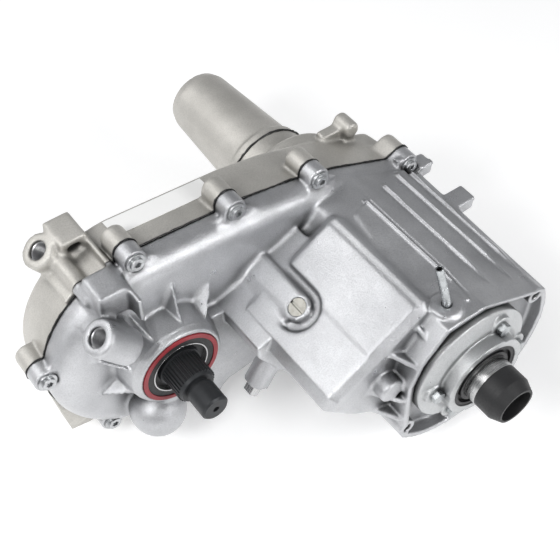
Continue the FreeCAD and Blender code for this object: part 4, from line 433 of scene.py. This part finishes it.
def rear_weights(co):
    weight = near_plane(co, SEAM_END_Y)
    weight = hold_bolts(co, weight, "case_bolts", SEAT_MARGIN)
    weight = hold_ear(co, weight, "rear_ear")
    return np.minimum(weight, near_plane(co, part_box("rear_case")[1].y))


def tail_weights(co):
    return np.minimum(near_plane(co, TAIL_JOINT_Y), near_plane(co, TAIL_END_Y))


def retainer_weights(co):
    lo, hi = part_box("input_bearing_retainer")
    weight = np.minimum(near_plane(co, lo.y), near_plane(co, hi.y))
    return hold_bolts(co, weight, "retainer_bolts", 0.0)


def relax(co, edges, weight, rounds):
    """Each round moves every vertex towards the mean of its neighbours."""
    n = len(co)
    a, b = edges[:, 0], edges[:, 1]
    count = np.bincount(a, minlength=n) + np.bincount(b, minlength=n)
    for _ in range(rounds):
        mean = np.empty_like(co)
        for k in range(3):
            mean[:, k] = np.bincount(a, co[b, k], n) + np.bincount(b, co[a, k], n)
        co += (mean / count[:, None] - co) * (weight * RELAX_STEP)[:, None]


def cast_skin(name, node, material, weights, voxel, rounds, faces):
    """A cast surface with soft fillets, grown from a node's own solid."""
    bm = welded(node)
    source = BVHTree.FromBMesh(bm)
    mesh = bpy.data.meshes.new(name)
    bm.to_mesh(mesh)
    bm.free()
    obj = show(name, mesh)
    grow = obj.modifiers.new("grow", "REMESH")
    grow.mode = "VOXEL"
    grow.voxel_size = voxel
    obj.data = applied(obj)
    obj.modifiers.clear()
    mesh = obj.data
    co = vertices(mesh)
    edges = np.empty(len(mesh.edges) * 2, dtype=np.int64)
    mesh.edges.foreach_get("vertices", edges)
    weight = weights(co)
    relax(co, edges.reshape(-1, 2), weight, rounds)
    # Held vertices go back to the solid's own surface.
    for i in np.nonzero(weight < 1.0)[0]:
        hit = source.find_nearest(Vector(co[i]))
        if hit[0] is not None:
            co[i] += (np.array(hit[0]) - co[i]) * (1.0 - weight[i])
    lo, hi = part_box(node)
    co = np.clip(co, np.array(lo), np.array(hi))
    mesh.vertices.foreach_set("co", co.ravel())
    mesh.update()
    count = sum(len(p.vertices) - 2 for p in mesh.polygons)
    if count > faces:
        thin = obj.modifiers.new("thin", "DECIMATE")
        thin.ratio = faces / count
        obj.data = applied(obj)
        obj.modifiers.clear()
    smooth_in(obj.data, material)
    obj.data.name = name
    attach(obj, "housing")
    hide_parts(node)


cast_skin("front_case_skin", "front_case", FRONT_CAST, front_weights,
          voxel=0.0015, rounds=14, faces=190000)
cast_skin("rear_case_skin", "rear_case", REAR_CAST, rear_weights,
          voxel=0.0015, rounds=10, faces=160000)
cast_skin("extension_skin", "extension_housing", REAR_CAST, tail_weights,
          voxel=0.0012, rounds=8, faces=90000)
cast_skin("retainer_skin", "input_bearing_retainer", RETAINER, retainer_weights,
          voxel=0.0007, rounds=4, faces=90000)

# ---------------------------------------------------------------- sealant beads

RANDOM = random.Random(7)
BEAD_GAP = 0.003           # spacing of the seam bead's points
TAIL_R = 0.0471            # radius of the tail joint's outer edge
TAIL_STEP_DEG = 4


def outer_outline(node, y):
    """Longest chain of edges round a flat ring's front face, as points in order."""
    bm = welded(node)
    links = {}
    for e in bm.edges:
        if all(abs(v.co.y - y) < 1e-5 for v in e.verts) and len(e.link_faces) == 2:
            flat = sorted(abs(f.normal.y) for f in e.link_faces)
            if flat[0] < 0.5 < flat[1]:
                a, b = e.verts
                links.setdefault(a, []).append(b)
                links.setdefault(b, []).append(a)
    best, best_length, seen = [], 0.0, set()
    for start in links:
        if start in seen:
            continue
        loop, at, last = [], start, None
        while at is not None and at not in seen:
            seen.add(at)
            loop.append(at.co.copy())
            step = [v for v in links[at] if v is not last and v not in seen]
            last, at = at, (step[0] if step else None)
        length = sum((loop[i] - loop[i - 1]).length for i in range(len(loop)))
        if length > best_length:
            best, best_length = loop, length
    bm.free()
    return best


def even_points(loop, gap):
    points, left = [], 0.0
    for i, p in enumerate(loop):
        q = loop[(i + 1) % len(loop)]
        run = (q - p).length
        while left < run:
            points.append(p.lerp(q, left / run))
            left += gap
        left -= run
    return points


def place(name, mesh):
    mesh.name = name
    obj = show(name, mesh)
    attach(obj, "housing")


def bead(name, points, y, width, wander):
    """Squeezed-out sealant: a lumpy closed tube along a flat outline."""
    centre = sum(points, Vector()) / len(points)
    curve = bpy.data.curves.new(name, "CURVE")
    curve.dimensions = "3D"
    curve.bevel_depth = width
    curve.bevel_resolution = 2
    line = curve.splines.new("POLY")
    line.points.add(len(points) - 1)
    line.use_cyclic_u = True
    drift = 0.0
    for i, p in enumerate(points):
        ahead = points[(i + 1) % len(points)] - points[i - 1]
        out = Vector((ahead.z, 0.0, -ahead.x)).normalized()
        if out.dot(p - centre) < 0:
            out.negate()
        drift = drift * 0.7 + RANDOM.uniform(-1.0, 1.0) * 0.5
        q = p + out * (drift * wander)
        line.points[i].co = (q.x, y + RANDOM.uniform(-1.0, 1.0) * wander * 0.35, q.z, 1.0)
        line.points[i].radius = 0.75 + RANDOM.random() * 0.6
    made = show(name, curve)
    mesh = applied(made)
    bpy.data.objects.remove(made)
    co = np.clip(vertices(mesh), np.array(CAD_LO), np.array(CAD_HI))
    mesh.vertices.foreach_set("co", co.ravel())
    smooth_in(mesh, SEALANT)
    place(name, mesh)


seam = even_points(outer_outline("case_sealant", SEAM_Y), BEAD_GAP)
bead("seam_bead", seam, (SEAM_Y + SEAM_END_Y) / 2, width=0.0008, wander=0.0005)

turns = [math.radians(a) for a in range(0, 360, TAIL_STEP_DEG)]
ring = [Vector((math.cos(a) * TAIL_R, 0.0, math.sin(a) * TAIL_R)) for a in turns]
bead("tail_bead", ring, TAIL_JOINT_Y, width=0.0013, wander=0.0009)

# ---------------------------------------------------------------- ear threads

THREAD = plated("cut_thread", (0.50, 0.50, 0.51), 0.30)
THREAD_PITCH = 0.0025
THREAD_HEIGHT = 0.0016
THREAD_HALF_BASE = 0.42    # of the pitch
THREAD_START = 0.8         # pitches below the hole's mouth
THREAD_SPARE = 1.5         # pitches left free at the hole's bottom
THREAD_STEPS = 48          # in one turn
THREAD_SINK = 0.0001       # into the hole's wall


def thread(name, mount):
    """V-shaped ridge that winds down the wall of a threaded hole."""
    m = MOUNTS[mount]
    out = Vector(m["axis"])
    u = out.cross(Vector((0, 1, 0))).normalized()
    v = out.cross(u)
    mouth = Vector(m["pos_m"])
    radius = m["dims"]["r_mm"] / MM_PER_M + THREAD_SINK
    depth = m["dims"]["length_mm"] / MM_PER_M - THREAD_PITCH
    half = THREAD_PITCH * THREAD_HALF_BASE
    section = ((radius, half), (radius - THREAD_HEIGHT, 0.0), (radius, -half))
    verts, faces = [], []
    count = int((depth - THREAD_SPARE * THREAD_PITCH) / THREAD_PITCH * THREAD_STEPS)
    for i in range(count):
        a = 2.0 * math.pi * i / THREAD_STEPS
        down = -(THREAD_PITCH * THREAD_START + THREAD_PITCH * i / THREAD_STEPS)
        spoke = u * math.cos(a) + v * math.sin(a)
        for r, t in section:
            verts.append(mouth + spoke * r + out * (down + t))
    for i in range(count - 1):
        k = 3 * i
        for a, b in ((0, 1), (1, 2), (2, 0)):
            faces.append((k + a, k + 3 + a, k + 3 + b, k + b))
    faces.append((0, 1, 2))
    faces.append((3 * count - 1, 3 * count - 2, 3 * count - 3))
    mesh = bpy.data.meshes.new(name)
    mesh.from_pydata(verts, [], faces)
    mesh.materials.append(THREAD)
    place(name, mesh)


thread("front_ear_thread", "front_ear")
thread("rear_ear_thread", "rear_ear")

# ---------------------------------------------------------------- floor and light

FLOOR_HALF = 6
FLOOR_GAP = 0.0005         # below the lowest point of the part
FLOOR_LIFT = 0.30
SKY = (0.97, 0.98, 1.0)
SKY_STRENGTH = 0.34
# Name, place from the part's centre, size and watts.
LAMPS = (("key", (-1.0, 1.0, 1.4), (1.5, 1.5), 15.0),
         ("left", (-1.3, -0.4, 1.3), (0.5, 0.5), 14.0),
         ("front", (0.5, -1.5, 1.0), (0.9, 0.22), 15.0))


def floor():
    n = Nodes("pale_floor")
    cloud = n.noise(3.0, 2.0, 0.5)
    n.finish(n.mix(cloud, (0.86, 0.86, 0.86), (0.90, 0.90, 0.90)), 0.8)
    # For camera, glossy and transmission rays the floor is lifted towards white.
    # It still shows the shadow.
    path = n.add("ShaderNodeLightPath")
    seen = n.add("ShaderNodeMath", operation="ADD")
    n.link(path.outputs["Is Camera Ray"], seen.inputs[0])
    n.link(path.outputs["Is Glossy Ray"], seen.inputs[1])
    through = n.add("ShaderNodeMath", operation="ADD", use_clamp=True)
    n.link(seen.outputs[0], through.inputs[0])
    n.link(path.outputs["Is Transmission Ray"], through.inputs[1])
    lift = n.add("ShaderNodeMath", operation="MULTIPLY")
    lift.inputs[1].default_value = FLOOR_LIFT
    n.link(through.outputs[0], lift.inputs[0])
    n.bsdf.inputs["Emission Color"].default_value = (1, 1, 1, 1)
    n.link(lift.outputs[0], n.bsdf.inputs["Emission Strength"])
    mesh = bpy.data.meshes.new("floor")
    z, h = CAD_LO.z - FLOOR_GAP, FLOOR_HALF
    mesh.from_pydata([(-h, -h, z), (h, -h, z), (h, h, z), (-h, h, z)], [], [(0, 1, 2, 3)])
    mesh.materials.append(n.mat)
    show("floor", mesh)


def sky():
    """Soft light all round, and plain white where the camera sees it."""
    world = bpy.data.worlds.new("studio")
    bpy.context.scene.world = world
    world.use_nodes = True
    tree = world.node_tree
    tree.nodes.clear()
    out = tree.nodes.new("ShaderNodeOutputWorld")
    mix = tree.nodes.new("ShaderNodeMixShader")
    path = tree.nodes.new("ShaderNodeLightPath")
    tree.links.new(path.outputs["Is Camera Ray"], mix.inputs[0])
    for k, color, strength in ((1, SKY, SKY_STRENGTH), (2, (1, 1, 1), 1.0)):
        shine = tree.nodes.new("ShaderNodeBackground")
        shine.inputs[0].default_value = (*color, 1)
        shine.inputs[1].default_value = strength
        tree.links.new(shine.outputs[0], mix.inputs[k])
    tree.links.new(mix.outputs[0], out.inputs[0])


def lamp(name, offset, size, power):
    data = bpy.data.lights.new(name, "AREA")
    data.shape = "RECTANGLE"
    data.size, data.size_y = size
    data.energy = power
    obj = show(name, data)
    centre = (CAD_LO + CAD_HI) / 2
    obj.location = centre + Vector(offset)
    obj.rotation_euler = (centre - obj.location).to_track_quat("-Z", "Y").to_euler()


floor()
sky()
for values in LAMPS:
    lamp(*values)

# ---------------------------------------------------------------- camera

CAMERA_AT = (-0.49264, -0.37521, 0.84545)
CAMERA_TURN_DEG = (39.2695, 0.1758, -36.4829)
CAMERA_LENS = 70.714       # mm, on a sensor of 36 mm

cam_data = bpy.data.cameras.new("camera")
cam_data.sensor_width = 36.0
cam_data.lens = CAMERA_LENS
cam = show("camera", cam_data)
cam.location = CAMERA_AT
cam.rotation_euler = [math.radians(a) for a in CAMERA_TURN_DEG]
bpy.context.scene.camera = cam

bpy.context.scene.view_settings.view_transform = "Standard"
